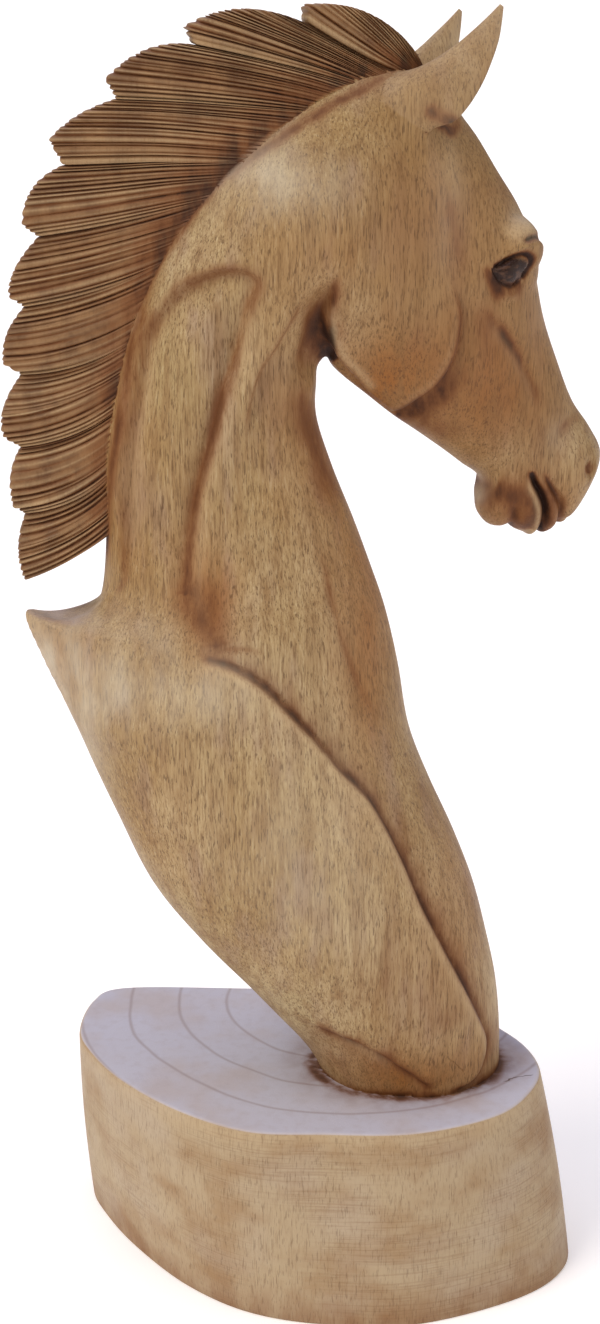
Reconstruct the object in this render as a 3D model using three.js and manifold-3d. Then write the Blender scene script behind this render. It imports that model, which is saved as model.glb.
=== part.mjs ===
// Carved wooden horse head: head, neck, mane and shoulders on a low block, all cut from one log.
// Millimetres. +X is the way the horse faces, +Y its left side, +Z up. The origin ends up under the
// middle of the bounding box, on the flat underside of the block.
import * as THREE from 'three';
import { mergeVertices } from 'three/addons/utils/BufferGeometryUtils.js';
import Module from 'manifold-3d';

// ---- Driving dimensions ----
const HEIGHT = 600;          // underside of the block to the ear tips
const BLOCK_TOP = 102;       // height of the block's top face
const BLOCK_CHAMFER = 2;     // worn edge round the top face
const HEAD_TURN = 15;        // degrees that the head turns towards its left
const TURN_AXIS_X = 10;      // upright axis of that turn, through the throat
const TURN_LOW = -20;        // where the turn starts and
const TURN_SPAN = 70;        // how far along the neck it builds up
const MANE_ROOT = 11;        // half the mane's thickness where it leaves the neck
const MANE_RIM = 5.5;        // half the mane's thickness at its outer edge
const LOCK_VALLEY = 1.6;     // depth of the valley between two locks

// Cross-sections of the carving from the foot up the neck, over the poll and down the head.
// Each has its end on the outer line (back, crest, forehead, nose), its end on the inner line
// (chest, throat, jaw, chin) and the largest distance from the middle plane. A crown below 1 squares
// the outer half of the section, as the flat forehead does.
const SECTIONS = [
  { outer: [14, 92], inner: [98, 92], half: 33 },          // foot, sunk in the block
  { outer: [2, 116], inner: [97.5, 122], half: 39 },
  { outer: [-23, 147], inner: [95, 147], half: 45 },
  { outer: [-50, 178], inner: [90, 171], half: 49 },
  { outer: [-71, 207], inner: [83, 198], half: 51 },
  { outer: [-87, 243], inner: [72.5, 226], half: 51 },
  { outer: [-103, 283], inner: [60, 254], half: 49 },     // shoulder
  { outer: [-117, 316], inner: [50, 281], half: 46 },
  { outer: [-124.5, 338.5], inner: [45, 309], half: 43 },     // end of the back
  { outer: [-110, 335.5], inner: [41.5, 326], half: 41.5 },
  { outer: [-96, 339.5], inner: [37.5, 341], half: 39.5 },        // withers
  { outer: [-90, 348.5], inner: [31.5, 358], half: 36 },
  { outer: [-87, 378], inner: [23.5, 380], half: 32 },
  { outer: [-87, 407], inner: [13.5, 405], half: 30 },        // middle of the neck
  { outer: [-82, 440], inner: [6.5, 428], half: 29 },
  { outer: [-71, 477], inner: [7, 445], half: 28 },
  { outer: [-50, 516], inner: [9.5, 451.5], half: 28 },     // throat
  { outer: [-12, 555], inner: [11.5, 452], half: 29 },
  { outer: [28, 575], inner: [14, 448.5], half: 29 },
  { outer: [54, 573], inner: [19.5, 443.5], half: 29, crown: 0.85 },         // poll
  { outer: [72, 552.5], inner: [29, 436], half: 30, crown: 0.7 },
  { outer: [85, 533], inner: [42.5, 425], half: 30, crown: 0.6 },     // forehead
  { outer: [97.5, 513.5], inner: [55.5, 416], half: 29, crown: 0.55 },
  { outer: [104.5, 490], inner: [67.5, 407.5], half: 26, crown: 0.55 },        // eyes
  { outer: [111, 468], inner: [76.5, 400.5], half: 22.5, crown: 0.65 },
  { outer: [120, 446.5], inner: [86, 392.5], half: 19.5, crown: 0.75 },    // chin groove
  { outer: [129.5, 427], inner: [84, 381], half: 17.5, crown: 0.85 },
  { outer: [139.5, 413.5], inner: [90, 371], half: 17.5 },    // chin
  { outer: [145.5, 401.5], inner: [100, 368.5], half: 17 },        // nose
  { outer: [141, 388.5], inner: [113, 364], half: 13 },
  { outer: [131, 375], inner: [122, 365.5], half: 6 },      // lips
];
// Hollow between the crest of the neck and the windpipe.
const FURROW = { from: [-26, 478], to: [-60, 352], depth: 3.5, width: 9 };
const SECTION_STEPS = 2;     // sections drawn for each one listed
const SIDE_STEPS = 15;       // facets from the outer line to the inner line

// Mane locks from the poll down. The lock's outer edge runs from the notch of the lock before it
// through `swell` to its tip and back to its own notch; `root` is where its lower border starts.
const MANE_TOP = { root: [48, 577], notch: [49, 580] };
const LOCKS = [
  { swell: [28, 596.5], tip: [0.5, 600], notch: [1, 592.5], root: [37, 577] },
  { swell: [-26, 598.5], tip: [-49.5, 591.5], notch: [-46, 584.5], root: [25, 569] },
  { swell: [-64.5, 582.5], tip: [-82, 570.5], notch: [-77.5, 562.5], root: [6, 559] },
  { swell: [-94.5, 555.5], tip: [-106, 546], notch: [-100.5, 535.5], root: [-26.5, 538] },
  { swell: [-114, 526], tip: [-119, 511], notch: [-112, 506], root: [-41, 524] },
  { swell: [-122.5, 493], tip: [-126, 481], notch: [-119, 476.5], root: [-60, 494] },
  { swell: [-127.5, 464.5], tip: [-129.5, 452], notch: [-121.5, 447.5], root: [-71, 464] },
  { swell: [-130.5, 432], tip: [-130.5, 419.5], notch: [-123, 415.5], root: [-77.5, 434] },
  { swell: [-128.5, 403], tip: [-128, 388.5], notch: [-122.5, 385.5], root: [-82.5, 408] },
  { swell: [-126.5, 370], tip: [-124.5, 355], notch: [-122, 356], root: [-84.5, 380] },
];
const ARC_STEPS = 6;         // facets along one lock's outer arc
const STRAND_STEPS = 5;      // facets from root to rim
const ROOT_DEPTH = 8;        // how far the mane is let into the neck
const STRAND_DROOP = 0.3;    // how far strands run down the neck before they turn outward

// Ears: a leaf rolled round a hollow that faces forward, as rings from its foot in the head to its
// tip. Each ring has its rear and front edges in side view and its distance from the middle plane.
const EAR_OUTLINE = [
  { rear: [28, 564], front: [50, 541], out: 17 },
  { rear: [34, 572], front: [57, 551], out: 19 },
  { rear: [43, 576], front: [64, 559.5], out: 21 },
  { rear: [52, 579.5], front: [69.5, 568], out: 22.5 },
  { rear: [59.5, 584], front: [73.5, 576.5], out: 23.5 },
  { rear: [66.5, 589.5], front: [76.8, 585], out: 24 },
  { rear: [73, 595], front: [78.6, 592], out: 24 },
  { rear: [78.4, 600], front: [79.8, 598.8], out: 24 },
];
const LEFT_EAR_SHIFT = [2, -3];  // the left ear is pricked a little further forward
const EAR_OPENING = 12;      // degrees from straight ahead, outward
const EAR_HOLLOW = 1.35;     // depth of the hollow, in half widths
const EAR_FLATNESS = 0.75;   // width across the head, as a share of the width in side view
const EAR_SIDES = 14;

// Block: its top edge and its underside, as pairs of points going round from the left end.
const BLOCK_EDGE = [
  { top: [-110, 44], foot: [-106, 53] },
  { top: [-104, 74], foot: [-101, 78] },
  { top: [-88, 87], foot: [-86, 89] },
  { top: [-30, 83], foot: [-30, 86] },
  { top: [30, 75], foot: [34, 80] },
  { top: [82, 54], foot: [94, 60] },
  { top: [109, 22], foot: [126, 26] },
  { top: [117, -8], foot: [134.5, -12] },
  { top: [109, -32], foot: [126, -37] },
  { top: [88, -54], foot: [99, -56.5] },
  { top: [48, -66.5], foot: [51, -71.5] },
  { top: [6, -64], foot: [8, -69] },
  { top: [-30, -59], foot: [-29, -57] },
  { top: [-62, -38], foot: [-59, -33] },
  { top: [-89, -8], foot: [-84, 1] },
  { top: [-105, 22], foot: [-99.5, 31] },
];
const BLOCK_BELLY = 1.5;     // how far the sides swell at half height
const BLOCK_SIDES = 54;

// Carved grooves of both sides, as places in the side view: one frames the raised shoulder from the
// withers down to the toe of the foot, and one is the slit between the lips.
const GROOVES = [
  {
    places: [
      [-51, 333], [-30, 325], [-4, 303], [20, 275], [40, 238], [60, 193], [78, 156], [84, 135], [79, 114],
    ],
    half: 2.2,
  },
  { places: [[105, 398], [111, 388], [114, 377], [113, 362]], half: 1.6 },
];
const GROOVE_STEPS = 3;      // facets between two places

// Rounded masses that stand out of both sides: centre and radii on the right-hand side.
const BULGES = [
  { centre: [37, -19, 478], radii: [29.5, 12.5, 43], facets: 24 },     // cheek plate
  { centre: [88, -20, 498], radii: [13, 12, 14], facets: 16 },         // brow
  { centre: [89, -28, 491], radii: [6, 5.5, 5], facets: 12 },           // eyeball
];
const NOSTRIL = { centre: [135, -15, 396], radii: [3, 4, 5], facets: 10 };

const wasm = await Module();
wasm.setup();

function solidFrom(geometry) {
  const bare = geometry.clone();
  bare.deleteAttribute('normal');
  bare.deleteAttribute('uv');
  const merged = mergeVertices(bare, 1e-4);
  return new wasm.Manifold(new wasm.Mesh({
    numProp: 3,
    vertProperties: new Float32Array(merged.attributes.position.array),
    triVerts: new Uint32Array(merged.index.array),
  }));
}

function geometryFrom(solid) {
  const mesh = solid.getMesh();
  const geometry = new THREE.BufferGeometry();
  geometry.setAttribute('position', new THREE.BufferAttribute(mesh.vertProperties, 3));
  geometry.setIndex(new THREE.BufferAttribute(mesh.triVerts, 1));
  geometry.computeVertexNormals();
  return geometry;
}

function indexed(points, faces) {
  const geometry = new THREE.BufferGeometry();
  geometry.setFromPoints(points);
  geometry.setIndex(faces);
  return geometry;
}

// Closed skin over rings of equal length, with a fan over each end. The rings run anticlockwise
// when seen from the last ring looking back to the first.
function loft(rings) {
  const count = rings[0].length;
  const faces = [];
  for (let r = 0; r < rings.length - 1; r++) {
    for (let i = 0; i < count; i++) {
      const a = r * count + i;
      const b = r * count + (i + 1) % count;
      faces.push(a, b, b + count, a, b + count, a + count);
    }
  }
  const points = rings.flat();
  for (const end of [0, rings.length - 1]) {
    const middle = new THREE.Vector3();
    for (const point of rings[end]) {
      middle.addScaledVector(point, 1 / count);
    }
    const hub = points.push(middle) - 1;
    for (let i = 0; i < count; i++) {
      const a = end * count + i;
      const b = end * count + (i + 1) % count;
      faces.push(...(end === 0 ? [hub, b, a] : [hub, a, b]));
    }
  }
  return indexed(points, faces);
}

// The neck and head turn smoothly about an upright axis, so the head looks towards its left.
function turned(geometry) {
  const position = geometry.attributes.position;
  for (let i = 0; i < position.count; i++) {
    const x = position.getX(i) - TURN_AXIS_X;
    const y = position.getY(i);
    const z = position.getZ(i);
    const along = x + TURN_AXIS_X + (z - 450) / 2;
    const share = THREE.MathUtils.smoothstep(along, TURN_LOW, TURN_LOW + TURN_SPAN);
    const angle = THREE.MathUtils.degToRad(HEAD_TURN) * share;
    const c = Math.cos(angle);
    const s = Math.sin(angle);
    position.setXY(i, TURN_AXIS_X + x * c - y * s, x * s + y * c);
  }
  return geometry;
}

// ---- Neck and head ----
const outerLine = new THREE.CatmullRomCurve3(
  SECTIONS.map((s) => new THREE.Vector3(s.outer[0], s.half, s.outer[1])), false, 'catmullrom', 0.5);
const innerLine = new THREE.CatmullRomCurve3(
  SECTIONS.map((s) => new THREE.Vector3(s.inner[0], s.half, s.inner[1])), false, 'catmullrom', 0.5);

// Depth of the hollow that runs down the side of the neck, at a place in the side view.
function furrowDepth(x, z) {
  const ends = new THREE.Line3(
    new THREE.Vector3(...FURROW.from, 0), new THREE.Vector3(...FURROW.to, 0));
  const place = new THREE.Vector3(x, z, 0);
  const nearest = ends.closestPointToPoint(place, true, new THREE.Vector3());
  return FURROW.depth * Math.exp(-((nearest.distanceTo(place) / FURROW.width) ** 2));
}

function sectionAt(along) {
  const outer = outerLine.getPoint(along);
  const inner = innerLine.getPoint(along);
  const place = along * (SECTIONS.length - 1);
  const [before, after] = [Math.floor(place), Math.ceil(place)].map((i) => SECTIONS[i].crown ?? 1);
  const crown = THREE.MathUtils.lerp(before, after, place % 1);
  return (turn) => {
    const across = (1 - Math.cos(turn)) / 2;
    const point = outer.clone().lerp(inner, across);
    const swell = Math.sin(turn);
    const squared = Math.sign(swell) * Math.abs(swell) ** (Math.cos(turn) > 0 ? crown : 1);
    point.y = -outer.y * squared + swell * furrowDepth(point.x, point.z);
    return point;
  };
}

function neckAndHead() {
  const steps = (SECTIONS.length - 1) * SECTION_STEPS;
  const rings = [];
  for (let i = 0; i <= steps; i++) {
    const section = sectionAt(i / steps);
    const ring = [];
    for (let k = 0; k < 2 * SIDE_STEPS; k++) {
      ring.push(section(Math.PI * k / SIDE_STEPS));
    }
    rings.push(ring);
  }
  return loft(rings);
}

// Point of the right-hand skin above a place in the side view.
function onSkin([x, z]) {
  let best = new THREE.Vector3();
  let nearest = Infinity;
  for (let i = 0; i <= 400; i++) {
    const section = sectionAt(i / 400);
    for (let k = 0; k <= 60; k++) {
      const point = section(Math.PI * k / 60);
      const gap = Math.hypot(point.x - x, point.z - z);
      if (gap < nearest) {
        nearest = gap;
        best = point;
      }
    }
  }
  return new THREE.Vector3(x, best.y, z);
}

function ellipsoid({ centre, radii, facets }) {
  const geometry = new THREE.SphereGeometry(1, facets, facets / 2);
  geometry.scale(...radii);
  geometry.translate(...centre);
  return geometry;
}

// A V-shaped groove: a square bar, edge down, sunk half into the skin.
function groove({ places, half }) {
  const bar = new THREE.Shape([
    new THREE.Vector2(half, 0), new THREE.Vector2(0, half),
    new THREE.Vector2(-half, 0), new THREE.Vector2(0, -half),
  ]);
  const path = new THREE.CatmullRomCurve3(places.map(onSkin));
  const steps = GROOVE_STEPS * (places.length - 1);
  return mergeVertices(new THREE.ExtrudeGeometry(bar, { steps, extrudePath: path }));
}

function mirrored(geometry) {
  const flipped = geometry.clone();
  flipped.scale(1, -1, 1);
  const index = flipped.index.array;
  for (let i = 0; i < index.length; i += 3) {
    [index[i], index[i + 1]] = [index[i + 1], index[i]];
  }
  return flipped;
}

// ---- Mane ----
function arcThrough(from, via, to, steps) {
  const curve = new THREE.QuadraticBezierCurve(
    new THREE.Vector2(...from),
    new THREE.Vector2(2 * via[0] - (from[0] + to[0]) / 2, 2 * via[1] - (from[1] + to[1]) / 2),
    new THREE.Vector2(...to));
  return curve.getPoints(steps);
}

function mane() {
  const strands = [];
  let before = MANE_TOP;
  for (const lock of LOCKS) {
    const from = new THREE.Vector2(...before.root);
    const to = new THREE.Vector2(...lock.root);
    const down = to.clone().sub(from).normalize();
    const inward = new THREE.Vector2(-down.y, down.x);
    const rim = arcThrough(before.notch, lock.swell, lock.tip, ARC_STEPS);
    rim.forEach((end, i) => {
      strands.push({ start: from.clone().lerp(to, i / (ARC_STEPS + 1)), end, down, inward, edge: i === 0 });
    });
    before = lock;
  }
  strands.push({
    ...strands.at(-1), start: new THREE.Vector2(...before.root), end: new THREE.Vector2(...before.notch),
  });
  const near = [];
  const far = [];
  for (const strand of strands) {
    const reach = strand.start.distanceTo(strand.end);
    const path = new THREE.QuadraticBezierCurve(
      strand.start.clone().addScaledVector(strand.inward, ROOT_DEPTH),
      strand.start.clone().addScaledVector(strand.down, STRAND_DROOP * reach),
      strand.end);
    for (let k = 0; k <= STRAND_STEPS; k++) {
      const share = k / STRAND_STEPS;
      const place = path.getPoint(share);
      const valley = strand.edge ? LOCK_VALLEY * share : 0;
      const half = THREE.MathUtils.lerp(MANE_ROOT, MANE_RIM, share) - valley;
      near.push(new THREE.Vector3(place.x, -half, place.y));
      far.push(new THREE.Vector3(place.x, half, place.y));
    }
  }
  return slab(near, far, STRAND_STEPS + 1);
}

// Closed plate between two grids of points, `rows` points to a column.
function slab(near, far, rows) {
  const columns = near.length / rows;
  const faces = [];
  const quad = (a, b, c, d) => faces.push(a, b, c, a, c, d);
  const back = near.length;
  for (let c = 0; c < columns - 1; c++) {
    for (let r = 0; r < rows - 1; r++) {
      const a = c * rows + r;
      const b = a + rows;
      quad(a, a + 1, b + 1, b);
      quad(back + a, back + b, back + b + 1, back + a + 1);
    }
    const foot = c * rows;
    const rim = foot + rows - 1;
    quad(foot, foot + rows, back + foot + rows, back + foot);
    quad(rim, back + rim, back + rim + rows, rim + rows);
  }
  const last = (columns - 1) * rows;
  for (let r = 0; r < rows - 1; r++) {
    quad(r, back + r, back + r + 1, r + 1);
    quad(last + r, last + r + 1, back + last + r + 1, back + last + r);
  }
  return indexed([...near, ...far], faces);
}

// ---- Ears ----
function ear(side) {
  const opening = THREE.MathUtils.degToRad(EAR_OPENING);
  const shift = new THREE.Vector2(...(side > 0 ? LEFT_EAR_SHIFT : [0, 0]));
  const reach = 1 + 1 / (4 * EAR_HOLLOW);
  const rings = EAR_OUTLINE.map(({ rear, front, out }) => {
    const edge = new THREE.Vector2(...rear).add(shift);
    const across = new THREE.Vector2(...front).add(shift).sub(edge);
    const width = across.length();
    const ahead = across.clone().normalize();
    const middle = edge.clone().addScaledVector(across, 0.5);
    const ring = [];
    for (let k = 0; k < EAR_SIDES; k++) {
      const round = 2 * Math.PI * k / EAR_SIDES;
      const profile = Math.cos(round) - EAR_HOLLOW * Math.max(0, Math.cos(round)) ** 2;
      const along = ((1 + profile) / reach - 0.5) * width;
      const beside = EAR_FLATNESS * width / 2 * Math.sin(round);
      const forward = along * Math.cos(opening) - beside * Math.sin(opening);
      const outward = along * Math.sin(opening) + beside * Math.cos(opening);
      ring.push(new THREE.Vector3(
        middle.x + ahead.x * forward, side * (out + outward), middle.y + ahead.y * forward));
    }
    return side < 0 ? ring.reverse() : ring;
  });
  return loft(rings);
}

// ---- Block ----
function block() {
  const outline = (end) => new THREE.CatmullRomCurve3(
    BLOCK_EDGE.map((pair) => new THREE.Vector3(...pair[end], 0)), true, 'catmullrom', 0.5,
  ).getPoints(BLOCK_SIDES).slice(0, -1);
  const top = outline('top');
  const foot = outline('foot');
  const ring = (height, swell) => foot.map((corner, i) => {
    const point = corner.clone().lerp(top[i], height / BLOCK_TOP);
    point.multiplyScalar(1 + swell / point.length());
    return point.setZ(height);
  }).reverse();
  return loft([
    ring(0, -BLOCK_CHAMFER / 2),
    ring(BLOCK_CHAMFER, 0),
    ring(BLOCK_TOP / 2, BLOCK_BELLY),
    ring(BLOCK_TOP - BLOCK_CHAMFER, 0),
    ring(BLOCK_TOP, -BLOCK_CHAMFER),
  ]);
}

// ---- The carving ----
const bothSides = (geometries) => geometries.flatMap((geometry) => [geometry, mirrored(geometry)]);
const masses = [neckAndHead(), mane(), ear(-1), ear(1), ...bothSides(BULGES.map(ellipsoid))];
const hollows = bothSides([...GROOVES.map(groove), ellipsoid(NOSTRIL)]);

let carving = solidFrom(block());
for (const mass of masses) {
  carving = carving.add(solidFrom(turned(mass)));
}
for (const hollow of hollows) {
  carving = carving.subtract(solidFrom(turned(hollow)));
}

const wood = new THREE.MeshStandardMaterial({ color: 0xa9855a, roughness: 0.55, metalness: 0 });
const horse = new THREE.Mesh(geometryFrom(carving), wood);
horse.name = 'horse_bust_on_block';
horse.geometry.computeBoundingBox();
const box = horse.geometry.boundingBox;
horse.geometry.translate(-(box.min.x + box.max.x) / 2, -(box.min.y + box.max.y) / 2, -box.min.z);
const scale = HEIGHT / (box.max.z - box.min.z);
horse.geometry.scale(scale, scale, scale);

const group = new THREE.Group();
group.add(horse);

export default group;
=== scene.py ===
import math

import bmesh
import bpy
import numpy as np
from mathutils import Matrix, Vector, kdtree


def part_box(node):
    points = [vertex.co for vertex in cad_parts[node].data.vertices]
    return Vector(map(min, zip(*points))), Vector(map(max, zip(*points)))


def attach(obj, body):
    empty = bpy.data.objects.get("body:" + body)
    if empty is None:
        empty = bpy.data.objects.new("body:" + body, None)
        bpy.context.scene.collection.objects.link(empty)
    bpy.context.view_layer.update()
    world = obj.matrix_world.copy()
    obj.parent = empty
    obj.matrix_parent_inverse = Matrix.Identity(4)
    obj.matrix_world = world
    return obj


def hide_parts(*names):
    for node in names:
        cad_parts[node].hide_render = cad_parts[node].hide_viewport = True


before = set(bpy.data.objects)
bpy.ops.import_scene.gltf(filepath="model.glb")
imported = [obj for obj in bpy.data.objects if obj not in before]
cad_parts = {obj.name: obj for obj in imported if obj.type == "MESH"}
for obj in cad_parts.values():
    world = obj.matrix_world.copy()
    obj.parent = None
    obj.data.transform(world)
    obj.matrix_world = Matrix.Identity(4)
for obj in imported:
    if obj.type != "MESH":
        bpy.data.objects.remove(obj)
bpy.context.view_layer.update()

# ---- Where the carver's frame lies in the row frame ----
# The carving is 600 mm tall. The middle of its box is a little ahead of the upright axis that the
# carver worked from, and to the left of the middle plane, because the block isn't even.
HEIGHT = 600
BOX_MIDDLE = np.array([4.909, 8.583, 0.0])

box_low, box_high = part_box("horse_bust_on_block")
mm = (box_high.z - box_low.z) / HEIGHT
box_foot = np.array([(box_low.x + box_high.x) / 2, (box_low.y + box_high.y) / 2, box_low.z])


def in_row(points):
    """The carver's millimetres as metres of the row frame."""
    return (np.asarray(points, float) - BOX_MIDDLE) * mm + box_foot


# ---- Camera ----
# It looks down a little on the horse's right side, from just behind the side view.
AZIMUTH = -4
ELEVATION = 19
DISTANCE = 950
AIM = [-0.45, 0, 311.8]
LENS = 56.21

azimuth = math.radians(AZIMUTH)
elevation = math.radians(ELEVATION)
backward = Vector((
    math.sin(azimuth) * math.cos(elevation),
    -math.cos(azimuth) * math.cos(elevation),
    math.sin(elevation),
))
camera = bpy.data.objects.new("camera", bpy.data.cameras.new("camera"))
bpy.context.scene.collection.objects.link(camera)
camera.data.lens = LENS
camera.data.clip_start = 0.05
camera.data.clip_end = 200
camera.location = Vector(in_row(AIM)) + backward * DISTANCE * mm
camera.rotation_euler = backward.to_track_quat("Z", "Y").to_euler()
bpy.context.scene.camera = camera


# ---- Floor and studio light ----
# A white floor that runs on past the view, a white room, a wide warm light over the viewer's left
# shoulder, a weak one low on the right, and a cool one overhead that gives the upward faces their
# lavender sheen.
def linear(hex_colour):
    """An sRGB hex colour as the linear one that the shaders take."""
    parts = [int(hex_colour[i:i + 2], 16) / 255 for i in (1, 3, 5)]
    return [p / 12.92 if p <= 0.04045 else ((p + 0.055) / 1.055) ** 2.4 for p in parts] + [1]


def link_object(name, data):
    """A new object in the scene that shows a mesh or a lamp."""
    made = bpy.data.objects.new(name, data)
    bpy.context.scene.collection.objects.link(made)
    return made


FLOOR_HALF = 60
FLOOR_COLOUR = "#f4f2f0"
FLOOR_GLOW = 0.3       # it is lit from below as well, so hardly any shadow shows
floor_mesh = bpy.data.meshes.new("floor")
floor_corners = [(x * FLOOR_HALF, y * FLOOR_HALF, box_low.z) for x, y in ((-1, -1), (1, -1), (1, 1), (-1, 1))]
floor_mesh.from_pydata(floor_corners, [], [(0, 1, 2, 3)])
floor = link_object("floor", floor_mesh)
floor_paint = bpy.data.materials.new("matt_white_floor")
floor_paint.use_nodes = True
floor_surface = floor_paint.node_tree.nodes["Principled BSDF"]
floor_surface.inputs["Base Color"].default_value = linear(FLOOR_COLOUR)
floor_surface.inputs["Roughness"].default_value = 0.9
floor_surface.inputs["Emission Color"].default_value = linear(FLOOR_COLOUR)
floor_surface.inputs["Emission Strength"].default_value = FLOOR_GLOW
floor_mesh.materials.append(floor_paint)

WORLD_COLOUR = "#fbfaff"
WORLD_STRENGTH = 0.42
world = bpy.data.worlds.new("white_room")
world.use_nodes = True
world.node_tree.nodes["Background"].inputs["Color"].default_value = linear(WORLD_COLOUR)
world.node_tree.nodes["Background"].inputs["Strength"].default_value = WORLD_STRENGTH
bpy.context.scene.world = world
bpy.context.scene.view_settings.view_transform = "Standard"

# name, direction from the carving, strength, width in degrees, colour
SOFT_LIGHTS = [
    ("key_light", (-0.8, -0.5, 0.85), 1.85, 35, "#fff8ec"),
    ("overhead_light", (-0.1, 0.1, 1.0), 0.9, 60, "#dddcff"),
    ("fill_light", (0.9, -0.5, 0.35), 0.6, 50, "#fff2e0"),
]
for name, towards, strength, width, colour in SOFT_LIGHTS:
    lamp = bpy.data.lights.new(name, "SUN")
    lamp.energy = strength
    lamp.angle = math.radians(width)
    lamp.color = linear(colour)[:3]
    holder = link_object(name, lamp)
    holder.rotation_euler = Vector(towards).to_track_quat("Z", "Y").to_euler()


# ---- Neck and head ----
# Carved in one from the log: a skin over cross-sections from the foot up the neck and down the head,
# with the shoulder, jowl, throat, eye and muzzle cut in by gouge and knife and then sanded.
# Each section has its place on the outer line (back, crest, forehead, nose), its place on the inner
# line (chest, throat, jaw, chin), its half width, and how square its outer half is (1 is round).
SECTIONS = [
    ((14, 92), (98, 92), 33, 1),
    ((2, 116), (97.5, 122), 39, 1),
    ((-23, 147), (95, 147), 45, 1),
    ((-50, 178), (90, 171), 49, 1),
    ((-71, 207), (83, 198), 51, 1),
    ((-87, 243), (72.5, 226), 51, 1),
    ((-103, 283), (60, 254), 49, 1),
    ((-117, 316), (50, 281), 46, 1),
    ((-124.5, 338.5), (45, 309), 43, 1),
    ((-110, 335.5), (41.5, 326), 41.5, 1),
    ((-96, 339.5), (37.5, 341), 39.5, 1),
    ((-90, 348.5), (31.5, 358), 36, 1),
    ((-87, 378), (23.5, 380), 32, 1),
    ((-87, 407), (13.5, 405), 30, 1),
    ((-82, 440), (6.5, 428), 29, 1),
    ((-71, 477), (7, 445), 28, 1),
    ((-50, 516), (9.5, 451.5), 28, 1),
    ((-12, 555), (11.5, 452), 29, 1),
    ((28, 575), (14, 448.5), 29, 1),
    ((54, 573), (19.5, 443.5), 29, 0.85),
    ((72, 552.5), (29, 436), 30, 0.7),
    ((85, 533), (42.5, 425), 30, 0.6),
    ((97.5, 513.5), (55.5, 416), 29, 0.55),
    ((104.5, 490), (67.5, 407.5), 26, 0.55),
    ((111, 468), (76.5, 400.5), 22.5, 0.65),
    ((120, 446.5), (86, 392.5), 19.5, 0.75),
    ((129.5, 427), (84, 381), 17.5, 0.85),
    ((139.5, 413.5), (90, 371), 17.5, 1),
    ((145.5, 401.5), (100, 368.5), 17, 1),
    ((141, 388.5), (113, 364), 13, 1),
    ((131, 375), (122, 365.5), 6, 1),
]
section_rows = np.array([[*outer, *inner, half] for outer, inner, half, _ in SECTIONS], float)
section_crowns = [crown for _, _, _, crown in SECTIONS]
LAST_SECTION = len(SECTIONS) - 1
LIP_END = np.array([0.9, 0, -0.9])     # how far the rounded end of the lips stands out of the last section


def spline(rows, at):
    """Smooth curve through rows of numbers; `at` counts rows from the first one."""
    ends = np.vstack([2 * rows[0] - rows[1], rows, 2 * rows[-1] - rows[-2]])
    first = np.clip(np.floor(at).astype(int), 0, len(rows) - 2)
    t = (at - first)[:, None]
    before, start, end, after = (ends[first + i] for i in range(4))
    leave = (end - before) / 2
    arrive = (after - start) / 2
    return start + t * leave + t ** 2 * (3 * (end - start) - 2 * leave - arrive) + t ** 3 * (
        2 * (start - end) + leave + arrive)


def plain_skin(places):
    """Right-hand skin before carving. A place is a count of sections and a share from the outer line
    round to the inner one; a last unit past the last section rounds off the lips."""
    along = places[:, 0]
    around = np.clip(places[:, 1], 0, 1)
    row = spline(section_rows, np.clip(along, 0, LAST_SECTION))
    crown = np.interp(along, np.arange(len(SECTIONS)), section_crowns)
    across = (1 - np.cos(np.pi * around)) / 2
    swell = np.sin(np.pi * around)
    swell = np.where(around < 0.5, swell ** crown, swell)
    swell[(around == 0) | (around == 1)] = 0
    flat = row[:, 0:2] * (1 - across)[:, None] + row[:, 2:4] * across[:, None]
    points = np.stack([flat[:, 0], -row[:, 4] * swell, flat[:, 1]], axis=1)
    rounding = np.clip(along - LAST_SECTION, 0, 1)[:, None] * np.pi / 2
    middle = (section_rows[-1, 0:2] + section_rows[-1, 2:4]) / 2
    middle = np.array([middle[0], 0, middle[1]])
    rounded = middle + (points - middle) * np.cos(rounding) + LIP_END * np.sin(rounding)
    return np.where(rounding > 0, rounded, points)


def skin_normals(places):
    """Outward normals of the plain skin, from small steps along and around it."""
    step = 2e-3
    ahead = np.clip(places + [step, 0], 0, LAST_SECTION)
    behind = np.clip(places - [step, 0], 0, LAST_SECTION - 2 * step)
    ahead[:, 1] = behind[:, 1] = np.clip(places[:, 1], step, 1 - step)
    along = plain_skin(ahead) - plain_skin(behind)
    inward = ahead.copy()
    outward = ahead.copy()
    inward[:, 1] = np.clip(places[:, 1] + step, 0, 1)
    outward[:, 1] = np.clip(places[:, 1] - step, 0, 1)
    inward[:, 0] = outward[:, 0] = np.clip(places[:, 0], 0, LAST_SECTION - step)
    around = plain_skin(inward) - plain_skin(outward)
    normal = np.cross(around, along)
    on_plane = (places[:, 1] <= 0) | (places[:, 1] >= 1)
    normal[on_plane, 1] = 0
    return normal / np.maximum(np.linalg.norm(normal, axis=1), 1e-12)[:, None]


def smoothstep(value, low, high):
    """0 below `low`, 1 above `high`, and a smooth rise between."""
    share = np.clip((value - low) / (high - low), 0, 1)
    return share * share * (3 - 2 * share)


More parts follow.
